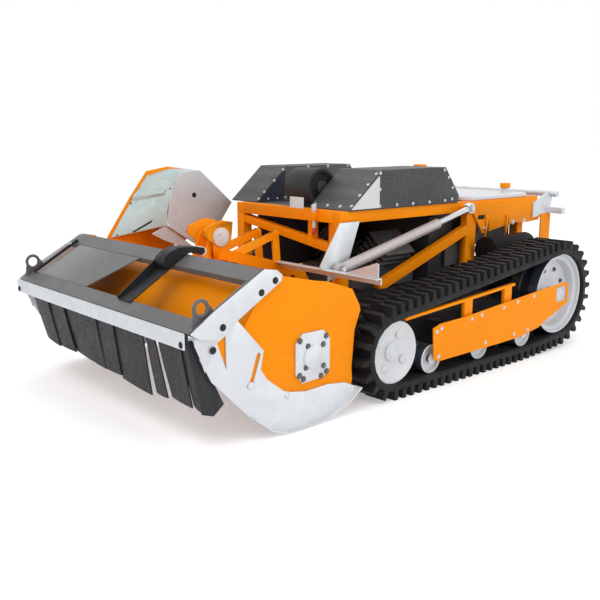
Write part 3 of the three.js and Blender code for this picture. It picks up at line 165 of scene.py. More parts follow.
class Finish:
    """A material under construction: a Principled shader and short ways to feed it."""

    def __init__(self, name, metallic=0.0, coat=0.0, specular=0.5):
        self.material = bpy.data.materials.new(name)
        self.material.use_nodes = True
        self.tree = self.material.node_tree
        self.bsdf = self.tree.nodes["Principled BSDF"]
        self.bsdf.inputs["Metallic"].default_value = metallic
        self.bsdf.inputs["Coat Weight"].default_value = coat
        self.bsdf.inputs["Specular IOR Level"].default_value = specular
        self.coords = self.tree.nodes.new("ShaderNodeTexCoord").outputs["Object"]

    def node(self, kind, **settings):
        made = self.tree.nodes.new(kind)
        for key, value in settings.items():
            setattr(made, key, value)
        return made

    def link(self, source, target):
        self.tree.links.new(source, target)

    def stretched(self, scale):
        mapping = self.node("ShaderNodeMapping")
        mapping.inputs["Scale"].default_value = scale
        self.link(self.coords, mapping.inputs["Vector"])
        return mapping.outputs[0]

    def noise(self, scale, detail=3.0, stretch=None):
        made = self.node("ShaderNodeTexNoise")
        made.inputs["Scale"].default_value = scale
        made.inputs["Detail"].default_value = detail
        self.link(self.stretched(stretch) if stretch else self.coords, made.inputs["Vector"])
        return made.outputs["Fac"]

    def cells(self, scale, randomness=1.0, output="Distance", feature="F1"):
        made = self.node("ShaderNodeTexVoronoi", feature=feature)
        made.inputs["Scale"].default_value = scale
        made.inputs["Randomness"].default_value = randomness
        self.link(self.coords, made.inputs["Vector"])
        return made.outputs[output]

    def ranged(self, source, low, high, start=0.3, stop=0.7):
        made = self.node("ShaderNodeMapRange")
        made.inputs["From Min"].default_value = start
        made.inputs["From Max"].default_value = stop
        made.inputs["To Min"].default_value = low
        made.inputs["To Max"].default_value = high
        self.link(source, made.inputs["Value"])
        return made.outputs[0]

    def mixed(self, factor, first, second):
        made = self.node("ShaderNodeMix", data_type="RGBA")
        self.link(factor, made.inputs["Factor"])
        for value, socket in ((first, made.inputs["A"]), (second, made.inputs["B"])):
            if isinstance(value, tuple):
                socket.default_value = value
            else:
                self.link(value, socket)
        return made.outputs["Result"]

    def base(self, source):
        self.link(source, self.bsdf.inputs["Base Color"])
        return self

    def rough(self, source):
        self.link(source, self.bsdf.inputs["Roughness"])
        return self

    def bump(self, height, distance, strength=1.0):
        made = self.node("ShaderNodeBump")
        made.inputs["Distance"].default_value = distance
        made.inputs["Strength"].default_value = strength
        self.link(height, made.inputs["Height"])
        self.link(made.outputs[0], self.bsdf.inputs["Normal"])
        return self


def painted(name, base, shade, rough, grain, depth, coat=0.0, specular=0.5):
    """Powder coat: broad faint patches, a fine skin and a few dull rubs."""
    made = Finish(name, coat=coat, specular=specular)
    patches = made.ranged(made.noise(5.0, 4.0), 0.0, 1.0)
    rubs = made.ranged(made.noise(38.0, 6.0, (1.0, 0.25, 1.0)), 0.0, 0.35, 0.56, 0.72)
    body = made.mixed(patches, colour(*base), colour(*shade))
    dull = tuple(0.82 * b for b in base)
    made.base(made.mixed(rubs, body, colour(*dull)))
    made.rough(made.ranged(made.noise(24.0, 5.0), rough[0], rough[1]))
    return made.bump(made.noise(grain, 2.0), depth).material


def galvanised(name, base, shade, metallic=0.5, rough=(0.42, 0.58)):
    """Zinc: crystals of slightly different grey, with faint streaks."""
    made = Finish(name, metallic=metallic, specular=0.4)
    crystals = made.ranged(made.cells(30.0, 1.0, "Color"), 0.0, 1.0, 0.2, 0.8)
    streaks = made.ranged(made.noise(7.0, 5.0, (1.0, 1.0, 3.0)), 0.0, 0.6)
    body = made.mixed(crystals, colour(*base), colour(*shade))
    made.base(made.mixed(streaks, body, colour(*(0.93 * b for b in base))))
    made.rough(made.ranged(made.noise(60.0, 4.0), *rough))
    return made.bump(made.noise(260.0, 2.0), 0.00002).material


def machined(name, base, shade, metallic=1.0, rough=(0.2, 0.4), stretch=(1.0, 40.0, 1.0)):
    """Turned or drawn steel, with fine lines in one direction."""
    made = Finish(name, metallic=metallic)
    lines = made.noise(90.0, 3.0, stretch)
    made.base(made.mixed(made.ranged(lines, 0.0, 1.0), colour(*base), colour(*shade)))
    made.rough(made.ranged(made.noise(16.0, 5.0), *rough))
    return made.bump(lines, 0.00004).material


def tread_rubber():
    """Black rubber with a little dust."""
    made = Finish("tread_rubber", specular=0.16)
    dust = made.ranged(made.noise(22.0, 6.0), 0.0, 0.5, 0.5, 0.8)
    patches = made.ranged(made.noise(6.0, 3.0), 0.0, 1.0)
    body = made.mixed(patches, colour(0.012, 0.012, 0.013), colour(0.020, 0.020, 0.021))
    made.base(made.mixed(dust, body, colour(0.038, 0.038, 0.037)))
    made.rough(made.ranged(made.noise(60.0, 4.0), 0.46, 0.7))
    return made.bump(made.noise(700.0, 3.0), 0.0003).material


def flap_rubber():
    """Dark rubber sheet, streaked from top to bottom."""
    made = Finish("flap_rubber", specular=0.25)
    streaks = made.noise(26.0, 5.0, (1.0, 1.0, 0.08))
    made.base(made.mixed(made.ranged(streaks, 0.0, 1.0, 0.25, 0.75),
                         colour(0.022, 0.022, 0.025), colour(0.040, 0.040, 0.045)))
    made.rough(made.ranged(made.noise(80.0, 4.0), 0.48, 0.7))
    return made.bump(made.noise(260.0, 4.0, (1.0, 1.0, 0.2)), 0.0003).material


HOLES_PER_METRE = 150.0


def perforated():
    """Dark sheet with a close grid of round perforations, drawn as near-black dots of painted
    shade.
    """
    made = Finish("perforated_sheet", specular=0.3)
    # Near-black dots stand for the perforations: painted shade, nothing is cut
    hole_shade = made.ranged(made.cells(HOLES_PER_METRE, 0.0), 1.0, 0.0, 0.30, 0.36)
    patches = made.ranged(made.noise(7.0, 3.0), 0.0, 1.0)
    sheet = made.mixed(patches, colour(0.082, 0.083, 0.086), colour(0.105, 0.106, 0.110))
    made.base(made.mixed(hole_shade, sheet, colour(0.012, 0.012, 0.013)))
    made.rough(made.ranged(made.noise(50.0, 4.0), 0.42, 0.6))
    dents = made.ranged(made.cells(HOLES_PER_METRE, 0.0), 0.0, 1.0, 0.28, 0.38)
    return made.bump(dents, 0.0008).material


# Where the panel's painted reflection runs from light to plain, in X
REFLECTION_FAR_X, REFLECTION_NEAR_X = -0.47, -0.22


def panel_grey():
    """Brushed grey sheet, lighter towards its far side: that lighter side is a painted reflection.
    """
    made = Finish("panel_grey", specular=0.4)
    split = made.node("ShaderNodeSeparateXYZ")
    made.link(made.coords, split.inputs[0])
    # Painted reflection: the sheet gets lighter towards its far side
    painted_reflection = made.ranged(split.outputs["X"], 1.0, 0.0, REFLECTION_FAR_X, REFLECTION_NEAR_X)
    body = made.mixed(painted_reflection, colour(0.13, 0.129, 0.131), colour(0.27, 0.27, 0.275))
    lines = made.ranged(made.noise(60.0, 4.0, (1.0, 24.0, 1.0)), 0.0, 0.35)
    made.base(made.mixed(lines, body, colour(0.10, 0.10, 0.102)))
    made.rough(made.ranged(made.noise(40.0, 4.0), 0.32, 0.46))
    return made.bump(made.noise(900.0, 2.0), 0.0001).material


ORANGE = painted("orange_coat", (1.0, 0.300, 0.0), (0.95, 0.278, 0.0), (0.36, 0.5),
                 520.0, 0.00004, coat=0.0, specular=0.12)
CHARCOAL = painted("charcoal_coat", (0.095, 0.095, 0.098), (0.075, 0.075, 0.078),
                   (0.42, 0.6), 900.0, 0.00018, specular=0.3)
BLACK = painted("black_coat", (0.012, 0.012, 0.013), (0.018, 0.018, 0.019), (0.38, 0.6),
                700.0, 0.0001, specular=0.25)
WHITE = painted("white_coat", (0.70, 0.72, 0.74), (0.65, 0.67, 0.70), (0.3, 0.45),
                520.0, 0.00004, coat=0.15, specular=0.35)
RED = painted("red_grip", (0.62, 0.030, 0.012), (0.50, 0.022, 0.010), (0.3, 0.42),
              400.0, 0.00005, coat=0.3)
ZINC = galvanised("zinc_plate", (0.70, 0.73, 0.76), (0.64, 0.67, 0.71))
# A darker, greener copy of the zinc for the guard's wrap: painted shade
ZINC_IN_SHADE = galvanised("zinc_painted_shade", (0.48, 0.56, 0.545), (0.42, 0.50, 0.49), 0.4)
FRAME_GREY = painted("frame_grey", (0.142, 0.141, 0.142), (0.112, 0.111, 0.113),
                     (0.34, 0.5), 900.0, 0.00014, specular=0.35)
PANEL = panel_grey()
RAM_COAT = painted("ram_coat", (0.56, 0.51, 0.505), (0.50, 0.46, 0.455), (0.2, 0.34),
                   520.0, 0.00004, coat=0.3)
SOOT = painted("soot_black", (0.006, 0.006, 0.0065), (0.010, 0.010, 0.0105), (0.5, 0.7),
               700.0, 0.0001, specular=0.12)
STEEL = machined("turned_steel", (0.66, 0.68, 0.70), (0.54, 0.56, 0.58))
SILVER = painted("silver_coat", (0.66, 0.69, 0.72), (0.60, 0.63, 0.66), (0.26, 0.4),
                 520.0, 0.00004, coat=0.3)
CAST = galvanised("cast_alloy", (0.16, 0.165, 0.17), (0.11, 0.115, 0.12), 0.4, (0.45, 0.6))
DARK = painted("dark_panel", (0.034, 0.034, 0.036), (0.026, 0.026, 0.028), (0.45, 0.65),
               700.0, 0.0001, specular=0.3)
# Dark blue sheet; on the wheels' drums and grooves it is painted shade
DARK_BLUE = painted("dark_blue_sheet", (0.045, 0.055, 0.080), (0.030, 0.036, 0.055), (0.2, 0.34),
                500.0, 0.00004, coat=0.3)
TREAD = tread_rubber()
FLAP = flap_rubber()
MESH = perforated()

OWN_FINISH = {
    "rubber": TREAD, "white": WHITE, "steel": STEEL, "orange": ORANGE,
    "zinc": ZINC, "charcoal": CHARCOAL, "black": BLACK, "red": RED,
}
SLOT_OF = {row["node"]: row["material_slot"] for row in frame["record"]["subparts"]}
SPECIAL = {
    "hood_left": MESH, "hood_right": MESH, "engine_block": CAST,
    "wheel_motor_left": BLACK, "wheel_motor_right": BLACK, "twin_tank": WHITE,
    "lift_cylinder": RAM_COAT, "muffler": SOOT,
}


# ---- Shapes
def add_piece(name, mesh, body, material, smooth=None):
    """Puts a mesh into the scene on its body; smooth is the sharp angle in degrees."""
    piece = bpy.data.objects.new(name, mesh)
    bpy.context.scene.collection.objects.link(piece)
    mesh.materials.append(material)
    if smooth is not None:
        mesh.shade_smooth()
        mesh.set_sharp_from_angle(angle=math.radians(smooth))
    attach(piece, body)
    return piece


def mesh_from(bm, name):
    """The mesh of finished bmesh work, its faces turned outward."""
    bmesh.ops.recalc_face_normals(bm, faces=bm.faces)
    mesh = bpy.data.meshes.new(name)
    bm.to_mesh(mesh)
    bm.free()
    return mesh


BEVEL_ANGLE = 35.0


def bevel(piece, width):
    """Softens the edges that are sharper than BEVEL_ANGLE."""
    made = piece.modifiers.new("edges", "BEVEL")
    made.width = width
    made.segments = 2
    made.limit_method = "ANGLE"
    made.angle_limit = math.radians(BEVEL_ANGLE)
    made.harden_normals = True
    made.use_clamp_overlap = True


def frame_for(axis):
    """A turn that takes +Z to the axis."""
    return Vector((0, 0, 1)).rotation_difference(Vector(axis).normalized()).to_matrix().to_4x4()


def revolve(bm, profile, place, axis, steps, closed=False):
    """Turns (distance along, radius) points about an axis through a place."""
    turn = Matrix.Translation(Vector(place)) @ frame_for(axis)
    rings = []
    for along, radius in profile:
        if radius < 1e-7:
            rings.append([bm.verts.new(turn @ Vector((0, 0, along)))])
            continue
        ring = []
        for k in range(steps):
            a = 2 * math.pi * k / steps
            spot = Vector((radius * math.cos(a), radius * math.sin(a), along))
            ring.append(bm.verts.new(turn @ spot))
        rings.append(ring)
    pairs = list(zip(rings, rings[1:]))
    if closed:
        pairs.append((rings[-1], rings[0]))
    for a, b in pairs:
        for k in range(steps):
            n = (k + 1) % steps
            if len(a) == 1:
                bm.faces.new((a[0], b[k], b[n]))
            elif len(b) == 1:
                bm.faces.new((a[k], a[n], b[0]))
            else:
                bm.faces.new((a[k], a[n], b[n], b[k]))


# Screw heads as shares of the height and of the radius
DOME = [(0.0, 1.0), (0.35, 1.0), (0.75, 0.82), (0.95, 0.5), (1.0, 0.0)]
HEX_HEAD = [(0.2, 0.0), (0.2, 1.0), (0.88, 1.0), (1.0, 0.84), (1.0, 0.5), (0.9, 0.42), (0.9, 0.0)]
SCREW_SINK = 0.3 * MM


def screws(name, body, material, spots, radius, height, hexagon=False):
    """Screw heads, each on a thin washer, set on their faces: one piece for a group."""
    bm = bmesh.new()
    for place, axis in spots:
        washer = [(-SCREW_SINK, 0.0), (-SCREW_SINK, 1.35 * radius), (0.18 * height, 1.35 * radius),
                  (0.25 * height, 1.25 * radius), (0.25 * height, 0.9 * radius)]
        revolve(bm, washer + [(0.25 * height, 0.0)], place, axis, 20)
        if hexagon:
            head = [(height * h, radius * r) for h, r in HEX_HEAD]
            revolve(bm, head, place, axis, 6)
        else:
            head = [(0.2 * height, 0.0)] + [
                (height * (0.2 + 0.8 * h), radius * r) for h, r in DOME]
            revolve(bm, head, place, axis, 16)
    add_piece(name, mesh_from(bm, name), body, material, smooth=32)


def prism(bm, points, x0, x1):
    """A plate whose outline lies in Y and Z, from x0 to x1."""
    near = [bm.verts.new((x0, y, z)) for y, z in points]
    far = [bm.verts.new((x1, y, z)) for y, z in points]
    bm.faces.new(near)
    bm.faces.new(list(reversed(far)))
    for k in range(len(points)):
        n = (k + 1) % len(points)
        bm.faces.new((near[k], near[n], far[n], far[k]))


def in_metres(points):
    """Points given in millimetres."""
    return [(y * MM, z * MM) for y, z in points]


def plate(name, outline, x0, x1, body, material, edge, smooth=40):
    """A plate of its own with softened edges, its outline in Y and Z; all in millimetres."""
    bm = bmesh.new()
    prism(bm, in_metres(outline), x0 * MM, x1 * MM)
    piece = add_piece(name, mesh_from(bm, name), body, material, smooth)
    bevel(piece, edge * MM)
    return piece


# ---- Wheels, turned finer than their solids
TRACK_X = 0.498
IDLER_YZ = (-0.256, 0.1583)
DRIVE_YZ = (0.710, 0.228)
ROLLER_Y = (-0.072, 0.197, 0.468)
ROLLER_Z = 0.1033
WHEEL_HALF = 62 * MM
GROOVE_HALF = 19 * MM
GROOVE = 28 * MM


def turned(name, node, body, material, place, profile, steps=96, drum=None):
    """A wheel about X; profile points are (distance outward, radius), closed.

    Where a drum radius is given, its outer surface and the groove are painted dark blue: painted
    shade under the track belt.
    """
    bm = bmesh.new()
    axis = (1, 0, 0) if place[0] > 0 else (-1, 0, 0)
    revolve(bm, profile, place, axis, steps, closed=True)
    mesh = mesh_from(bm, name)
    if drum is not None:
        # Drum and groove faces get the dark blue: painted shade
        for face in mesh.polygons:
            out = abs(face.center.x) - TRACK_X
            radius = math.hypot(face.center.y - place[1], face.center.z - place[2])
            in_groove = out < GROOVE_HALF + 1.5 * MM and radius > drum - GROOVE - 3 * MM
            if in_groove or (radius > drum - 5 * MM and out < WHEEL_HALF - 2 * MM):
                face.material_index = 1
    piece = add_piece(name, mesh, body, material, smooth=28)
    if drum is not None:
        mesh.materials.append(DARK_BLUE)
    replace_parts(piece, node)


def groove_profile(radius):
    """Rim to rim across the guide groove, from the inner to the outer face."""
    r = radius - GROOVE
    c = 2 * MM
    return [(-WHEEL_HALF + c, radius), (-GROOVE_HALF - c, radius), (-GROOVE_HALF, radius - c),
            (-GROOVE_HALF, r), (GROOVE_HALF, r), (GROOVE_HALF, radius - c),
            (GROOVE_HALF + c, radius), (WHEEL_HALF - c, radius)]


def dished(start, stop, depth, count):
    """A shallow bowl between two (radius, distance) points."""
    points = []
    for k in range(count + 1):
        t = k / count
        radius = start[0] + (stop[0] - start[0]) * t
        along = start[1] + (stop[1] - start[1]) * t - depth * math.sin(math.pi * t)
        points.append((along, radius))
    return points


def circle_spots(x, centre, radius, count, first, sign):
    """Bolt places on a circle about X, with the way that they face."""
    spots = []
    for k in range(count):
        a = 2 * math.pi * k / count + first
        spot = (x, centre[0] + radius * math.cos(a), centre[1] + radius * math.sin(a))
        spots.append((spot, (sign, 0, 0)))
    return spots


def idler_wheel(side, sign):
    """The dished idler disc."""
    radius = 105 * MM
    hub = 15.6 * MM
    inner_web = 12 * MM
    lip = [(WHEEL_HALF - 2 * MM, radius), (WHEEL_HALF, radius - 2 * MM),
           (WHEEL_HALF, radius - 7 * MM), (WHEEL_HALF - 2.5 * MM, radius - 10 * MM)]
    bowl = dished((radius - 10 * MM, WHEEL_HALF - 2.5 * MM), (34 * MM, WHEEL_HALF - 17 * MM),
                  5 * MM, 10)
    core = [(WHEEL_HALF - 15 * MM, 31 * MM), (WHEEL_HALF - 13 * MM, 28 * MM),
            (WHEEL_HALF - 13 * MM, hub)]
    back = [(-GROOVE_HALF, hub), (-GROOVE_HALF, 36 * MM), (inner_web, 66 * MM),
            (-WHEEL_HALF, 66 * MM), (-WHEEL_HALF, radius - 2 * MM)]
    profile = groove_profile(radius) + lip + bowl[1:] + core + back
    turned(f"idler_disc_{side}", f"idler_{side}", f"idler_{side}", WHITE,
           (sign * TRACK_X, *IDLER_YZ), profile)


def drive_wheel(side, sign):
    """The rimmed drive wheel with its ring of bolts."""
    radius = 160 * MM
    hub = 20.6 * MM
    face = WHEEL_HALF
    lip = [(face - 2 * MM, radius), (face, radius - 2 * MM), (face, radius - 6 * MM),
           (face - 3 * MM, radius - 9 * MM), (face - 14 * MM, radius - 11 * MM),
           (face - 17 * MM, radius - 14 * MM), (face - 17 * MM, radius - 22 * MM),
           (face - 20 * MM, radius - 25 * MM), (13 * MM, 128 * MM), (11 * MM, 122 * MM)]
    web = [(11 * MM, 58 * MM), (14 * MM, 54 * MM), (14 * MM, hub)]
    back = [(-WHEEL_HALF, hub), (-WHEEL_HALF, 48 * MM), (-12 * MM, 48 * MM),
            (-12 * MM, 122 * MM), (-WHEEL_HALF, 122 * MM), (-WHEEL_HALF, radius - 2 * MM)]
    profile = groove_profile(radius) + lip + web + back
    turned(f"drive_rim_{side}", f"drive_wheel_{side}", f"drive_wheel_{side}", SILVER,
           (sign * TRACK_X, *DRIVE_YZ), profile, 120, radius)
    spots = circle_spots(sign * (TRACK_X + 11 * MM), DRIVE_YZ, 0.095, 8, math.pi / 8, sign)
    screws(f"drive_bolts_{side}", f"drive_wheel_{side}", CAST, spots,
           7 * MM, 8 * MM, True)


def road_roller(number, side, sign, y):
    """One road roller, turned from rim to hub."""
    radius = 50 * MM
    hub = 12.6 * MM
    face = WHEEL_HALF
    lip = [(face - 1 * MM, radius), (face, radius - 1.5 * MM), (face, radius - 5 * MM),
           (face - 2 * MM, radius - 7 * MM), (face - 12 * MM, radius - 11 * MM),
           (face - 14 * MM, radius - 17 * MM), (face - 14 * MM, hub + 9 * MM),
           (face - 12 * MM, hub + 7 * MM), (face - 12 * MM, hub)]
    back = [(-face, hub), (-face, radius - 2 * MM)]
    turned(f"roller_rim_{number}_{side}", f"roller_{number}_{side}", f"roller_{number}_{side}",
           SILVER, (sign * TRACK_X, y, ROLLER_Z), groove_profile(radius) + lip + back,
           64, radius)


for side_name, side_sign in SIDES:
    idler_wheel(side_name, side_sign)
    drive_wheel(side_name, side_sign)
    for index, roller_y in enumerate(ROLLER_Y):
        road_roller(index + 1, side_name, side_sign, roller_y)


# ---- Rubber flaps, one over the other, hung behind the zinc strip
# Each row: left and right at the strip, left and right at the tip, tip heights
FLAPS = [
    (-452, -318, -455, -340, 136, 127),
    (-336, -202, -358, -216, 129, 131),
    (-222, 28, -236, -12, 133, 117),
    (14, 140, -30, 94, 118, 121),
    (126, 314, 84, 268, 108, 100),
    (316, 373, 286, 357, 111, 113),
    (375, 504, 373, 484, 120, 117),
    (490, 536, 478, 531, 121, 113),
]
FLAP_TOP_Y = -1034.0
FLAP_TOP_Z = 338.0
FLAP_TIP_Y = -982.0
FLAP_THICK = 5.0
FLAP_LAYER = 7.0
FLAP_SEAT = 0.35


def flap_mesh(row):
    """One rubber flap, bent back towards its tip."""
    top0, top1, tip0, tip1, z0, z1 = row
    rows, across = 14, 6
    bm = bmesh.new()
    swing = rand.uniform(-3.0, 3.0)
    front, back = [], []
    for r in range(rows + 1):
        t = r / rows
        line_f, line_b = [], []
        for c in range(across + 1):
            s = c / across
            x = (top0 + (top1 - top0) * s) * (1 - t) + (tip0 + (tip1 - tip0) * s) * t
            crown = 2.5 * math.sin(math.pi * s) * t
            reach = (FLAP_TIP_Y - FLAP_TOP_Y + swing) * t ** 1.15
            seat = FLAP_SEAT + (1 - FLAP_SEAT) * min(1.0, t / 0.2)
            y = FLAP_TOP_Y + FLAP_LAYER * (1 - s) * seat + reach - crown
            z = FLAP_TOP_Z + (z0 + (z1 - z0) * s - FLAP_TOP_Z) * t
            line_f.append(bm.verts.new((x * MM, y * MM, z * MM)))
            line_b.append(bm.verts.new((x * MM, (y + FLAP_THICK) * MM, z * MM)))
        front.append(line_f)
        back.append(line_b)
    for r in range(rows):
        for c in range(across):
            bm.faces.new((front[r][c], front[r + 1][c], front[r + 1][c + 1], front[r][c + 1]))
            bm.faces.new((back[r][c], back[r][c + 1], back[r + 1][c + 1], back[r + 1][c]))
        bm.faces.new((front[r][0], back[r][0], back[r + 1][0], front[r + 1][0]))
        bm.faces.new((front[r][-1], front[r + 1][-1], back[r + 1][-1], back[r][-1]))
    for c in range(across):
        bm.faces.new((front[0][c], front[0][c + 1], back[0][c + 1], back[0][c]))
        bm.faces.new((front[-1][c], back[-1][c], back[-1][c + 1], front[-1][c + 1]))
    return bm


SIDE_FLAP = [(-1031, 322), (-1027, 300), (-986, 112), (-950, 100), (-915, 128), (-1012, 322)]


def rubber_flaps():
    """The curtain's flaps, and the one that hangs along the near side."""
    for k, row in enumerate(FLAPS):
        name = f"rubber_flap_{k + 1}"
        piece = add_piece(name, mesh_from(flap_mesh(row), name), "flap", FLAP, 40)
        bevel(piece, 0.8 * MM)
        if k == 0:
            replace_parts(piece, "flap_curtain")
    plate("side_flap", SIDE_FLAP, 530.5, 536.5, "flap", FLAP, 0.8)


rubber_flaps()


# ---- Bolts and small fittings
def side_spots(places, x, sign=1):
    """Bolt places on a face of constant X, given as Y and Z in millimetres."""
    return [((sign * x * MM, y * MM, z * MM), (sign, 0, 0)) for y, z in places]


COVER_BOLTS = [(-68, 200), (-56, 112), (-45, 208), (121, 216), (178, 222), (310, 230), (397, 240),
               (503, 248), (207, 116), (383, 118), (472, 122)]
BEARING_BOLTS = [(-653, 262), (-550, 262), (-622, 241), (-562, 238), (-630, 178), (-560, 172),
                 (-655, 158), (-640, 145), (-548, 152), (-570, 142)]
SKID_BOLTS = [(-701, 107), (-896, 342)]
ARM_BOLTS = [(-928, 347), (-961, 290), (-797, 424), (-748, 452)]
GUSSET_BOLTS = [(560, 478), (756, 490), (837, 492), (905, 560)]

for side_name, side_sign in SIDES:
    screws(f"cover_bolts_{side_name}", "chassis", STEEL,
           side_spots(COVER_BOLTS, 579, side_sign), 5.5 * MM, 4 * MM)
    screws(f"skid_bolts_{side_name}", f"skid_{side_name}", STEEL,
           side_spots(SKID_BOLTS, 549.3, side_sign), 7 * MM, 5 * MM)
    screws(f"arm_bolts_{side_name}", "flap", BLACK,
           side_spots(ARM_BOLTS, 556, side_sign), 7.5 * MM, 2.5 * MM)
    screws(f"gusset_bolts_{side_name}", "chassis", STEEL,
           side_spots(GUSSET_BOLTS, 297, side_sign), 7 * MM, 5 * MM, True)
screws("bearing_bolts_left", "deck", CAST, side_spots(BEARING_BOLTS, 550.3),
       7 * MM, 5 * MM, True)

MOTOR_AT = (698, 231)
HUB_CORNERS = [(-25, -20), (-20, -25), (20, -25), (25, -20), (25, 20), (20, 25), (-20, 25),
               (-25, 20)]
HUB_LUG = ((0, 0), (22, 0), (22, 8), (0, 8))


def hub_plate(side, sign):
    """The white plate with two lugs and five bolts in the track cover's window."""
    bm = bmesh.new()
    y, z = MOTOR_AT
    x = sign * 0.5655
    prism(bm, in_metres([(y + a, z + b) for a, b in HUB_CORNERS]), x, sign * 0.5715)
    for a, b in ((-26, -4), (20, -4)):
        prism(bm, in_metres([(y + a + p, z + b + q) for p, q in HUB_LUG]), x, sign * 0.5745)
    bevel(add_piece(f"hub_plate_{side}", mesh_from(bm, f"hub_plate_{side}"), "chassis",
                    WHITE, 40), 1 * MM)
    places = [(y + a, z + b) for a in (-15, 15) for b in (-15, 15)] + [(y, z)]
    screws(f"hub_bolts_{side}", "chassis", STEEL, side_spots(places, 571.5, sign),
           4 * MM, 3.5 * MM, True)


CAP_PROFILE = [(0.0493, 0.0), (0.0493, 0.031), (0.0533, 0.031), (0.0545, 0.029),
               (0.0545, 0.018), (0.0565, 0.0165), (0.0565, 0.0)]
BOSS_PROFILE = [(0.0, 0.0), (0.0, 0.015), (0.003, 0.0145), (0.0045, 0.0125), (0.0045, 0.0)]


def idler_cap(side, sign):
    """The stepped cap on the idler's hub with its bolts, and four bosses round it."""
    x = sign * TRACK_X
    bm = bmesh.new()
    revolve(bm, CAP_PROFILE, (x, *IDLER_YZ), (sign, 0, 0), 40)
    for spot, out in circle_spots(x + sign * 0.0478, IDLER_YZ, 0.064, 4, 0.32 * math.pi, sign):
        revolve(bm, BOSS_PROFILE, spot, out, 24)
    add_piece(f"idler_cap_{side}", mesh_from(bm, f"idler_cap_{side}"), f"idler_{side}", WHITE,
              40)
    ring = circle_spots(x + sign * 0.0533, IDLER_YZ, 0.0245, 6, 0.0, sign)
    screws(f"idler_bolts_{side}", f"idler_{side}", STEEL, ring, 3 * MM, 3 * MM, True)


for side_name, side_sign in SIDES:
    hub_plate(side_name, side_sign)
    idler_cap(side_name, side_sign)

HOOD_SIDE = [(-62, 716), (-62, 660), (-62, 602), (27, 602), (114, 602), (207, 602), (298, 603),
             (340, 607), (341, 650), (316, 690), (290, 718)]
HOOD_SLOPE = math.atan2(131.5, 150.0)


def on_slope(x, share):
    """A place on the near hood's sloping front, from its foot to its top, and its normal."""
    place = Vector((x, -208.7 + 149.5 * share, 595.4 + 131.4 * share)) * MM
    return (place, (0, -math.sin(HOOD_SLOPE), math.cos(HOOD_SLOPE)))


hood_spots = side_spots(HOOD_SIDE, 300)
hood_spots += [on_slope(x, 0.07) for x in (112, 176, 240)]
hood_spots += [on_slope(291, share) for share in (0.1, 0.36, 0.63, 0.9)]
screws("hood_screws_left", "chassis", SILVER, hood_spots, 4.5 * MM, 4 * MM)
FAR_SIDE = [(-196, 604), (-150, 603), (-104, 603), (-168, 630), (-118, 672), (-72, 713),
            (-64, 604), (30, 603), (118, 603), (210, 603), (300, 603), (60, 722), (170, 722),
            (285, 722)]
screws("hood_screws_right", "chassis", SILVER, side_spots(FAR_SIDE, -217),
       4.5 * MM, 4 * MM)

plate("hood_corner_left", [(-205, 596), (-66, 596), (-66, 704), (-70, 706)], 300.2, 302.2,
      "chassis", WHITE, 0.6)
plate("hood_corner_right", [(-200, 597), (-64, 597), (-64, 716), (-68, 716)], -216.8, -215.0,
      "chassis", DARK_BLUE, 0.6)


FAN_FACE = (0.085, -0.141, 0.662)
FAN_RINGS = (0.030, 0.037, 0.044, 0.051)
FAN_WIRE = 1.3 * MM
FAN_HUB = [(-0.008, 0.0), (-0.008, 0.024), (0.002, 0.024), (0.005, 0.020), (0.006, 0.0)]
FAN_BAR = [(0.0, 0.0), (0.0, 1.5 * MM), (0.036, 1.5 * MM), (0.036, 0.0)]


def fan_grille():
    """Wire rings and spokes round a hub, on the fan housing's face."""
    bm = bmesh.new()
    for radius in FAN_RINGS:
        profile = []
        for k in range(8):
            a = 2 * math.pi * k / 8
            profile.append((-0.004 + FAN_WIRE * math.sin(a), radius + FAN_WIRE * math.cos(a)))
        revolve(bm, profile, FAN_FACE, (1, 0, 0), 40, closed=True)
    revolve(bm, FAN_HUB, FAN_FACE, (1, 0, 0), 32)
    for k in range(6):
        a = math.pi * k / 3
        reach = Vector((0, math.cos(a), math.sin(a)))
        start = Vector(FAN_FACE) + Vector((-0.005, 0, 0)) + reach * 0.02
        revolve(bm, FAN_BAR, start, reach, 8)
    add_piece("fan_grille", mesh_from(bm, "fan_grille"), "chassis", DARK, 40)


# The pull pin, as (height, radius)
PIN_AT = (0.170, -0.257, 0.0)
PIN_SHANK = [(0.530, 0.0), (0.530, 0.006), (0.589, 0.006), (0.5895, 0.0088), (0.608, 0.0088),
             (0.611, 0.006), (0.611, 0.0)]
PIN_TIP = [(0.505, 0.0), (0.505, 0.004), (0.509, 0.0075), (0.526, 0.0075), (0.5298, 0.006),
           (0.5298, 0.0)]


def pull_pin_part(name, profile, material):
    """One turned part of the pull pin."""
    bm = bmesh.new()
    revolve(bm, profile, PIN_AT, (0, 0, 1), 24)
    return add_piece(name, mesh_from(bm, name), "pull_pin", material, 40)


fan_grille()
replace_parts(pull_pin_part("pull_pin_shank", PIN_SHANK, SILVER), "pull_pin")
pull_pin_part("pull_pin_tip", PIN_TIP, RED)

# The guard over the belt drive, folded from sheet: a face and a bent wrap behind it
GUARD_FACE = [(-482, 506), (-458, 642), (-406, 707), (-322, 712), (-169, 578), (-257, 461),
              (-346, 416)]
GUARD_OUTER = [(-668, 462), (-640, 505), (-578, 592), (-500, 694), (-404, 716), (-332, 716)]
GUARD_INNER = [(-482, 506), (-478, 560), (-462, 622), (-446, 664), (-408, 706), (-324, 711)]
GUARD_X0, GUARD_X1, GUARD_SHEET = -536.5, -430.0, 4.0
GUARD_RUN = GUARD_X1 - 1.5 - GUARD_X0
GUARD_FOOT = [(-482, 503), (-362, 413), (-435, 423), (-492, 447), (-549, 476)]
GUARD_LIP = [(-486, 503), (-474, 512), (-338, 424), (-345, 414)]


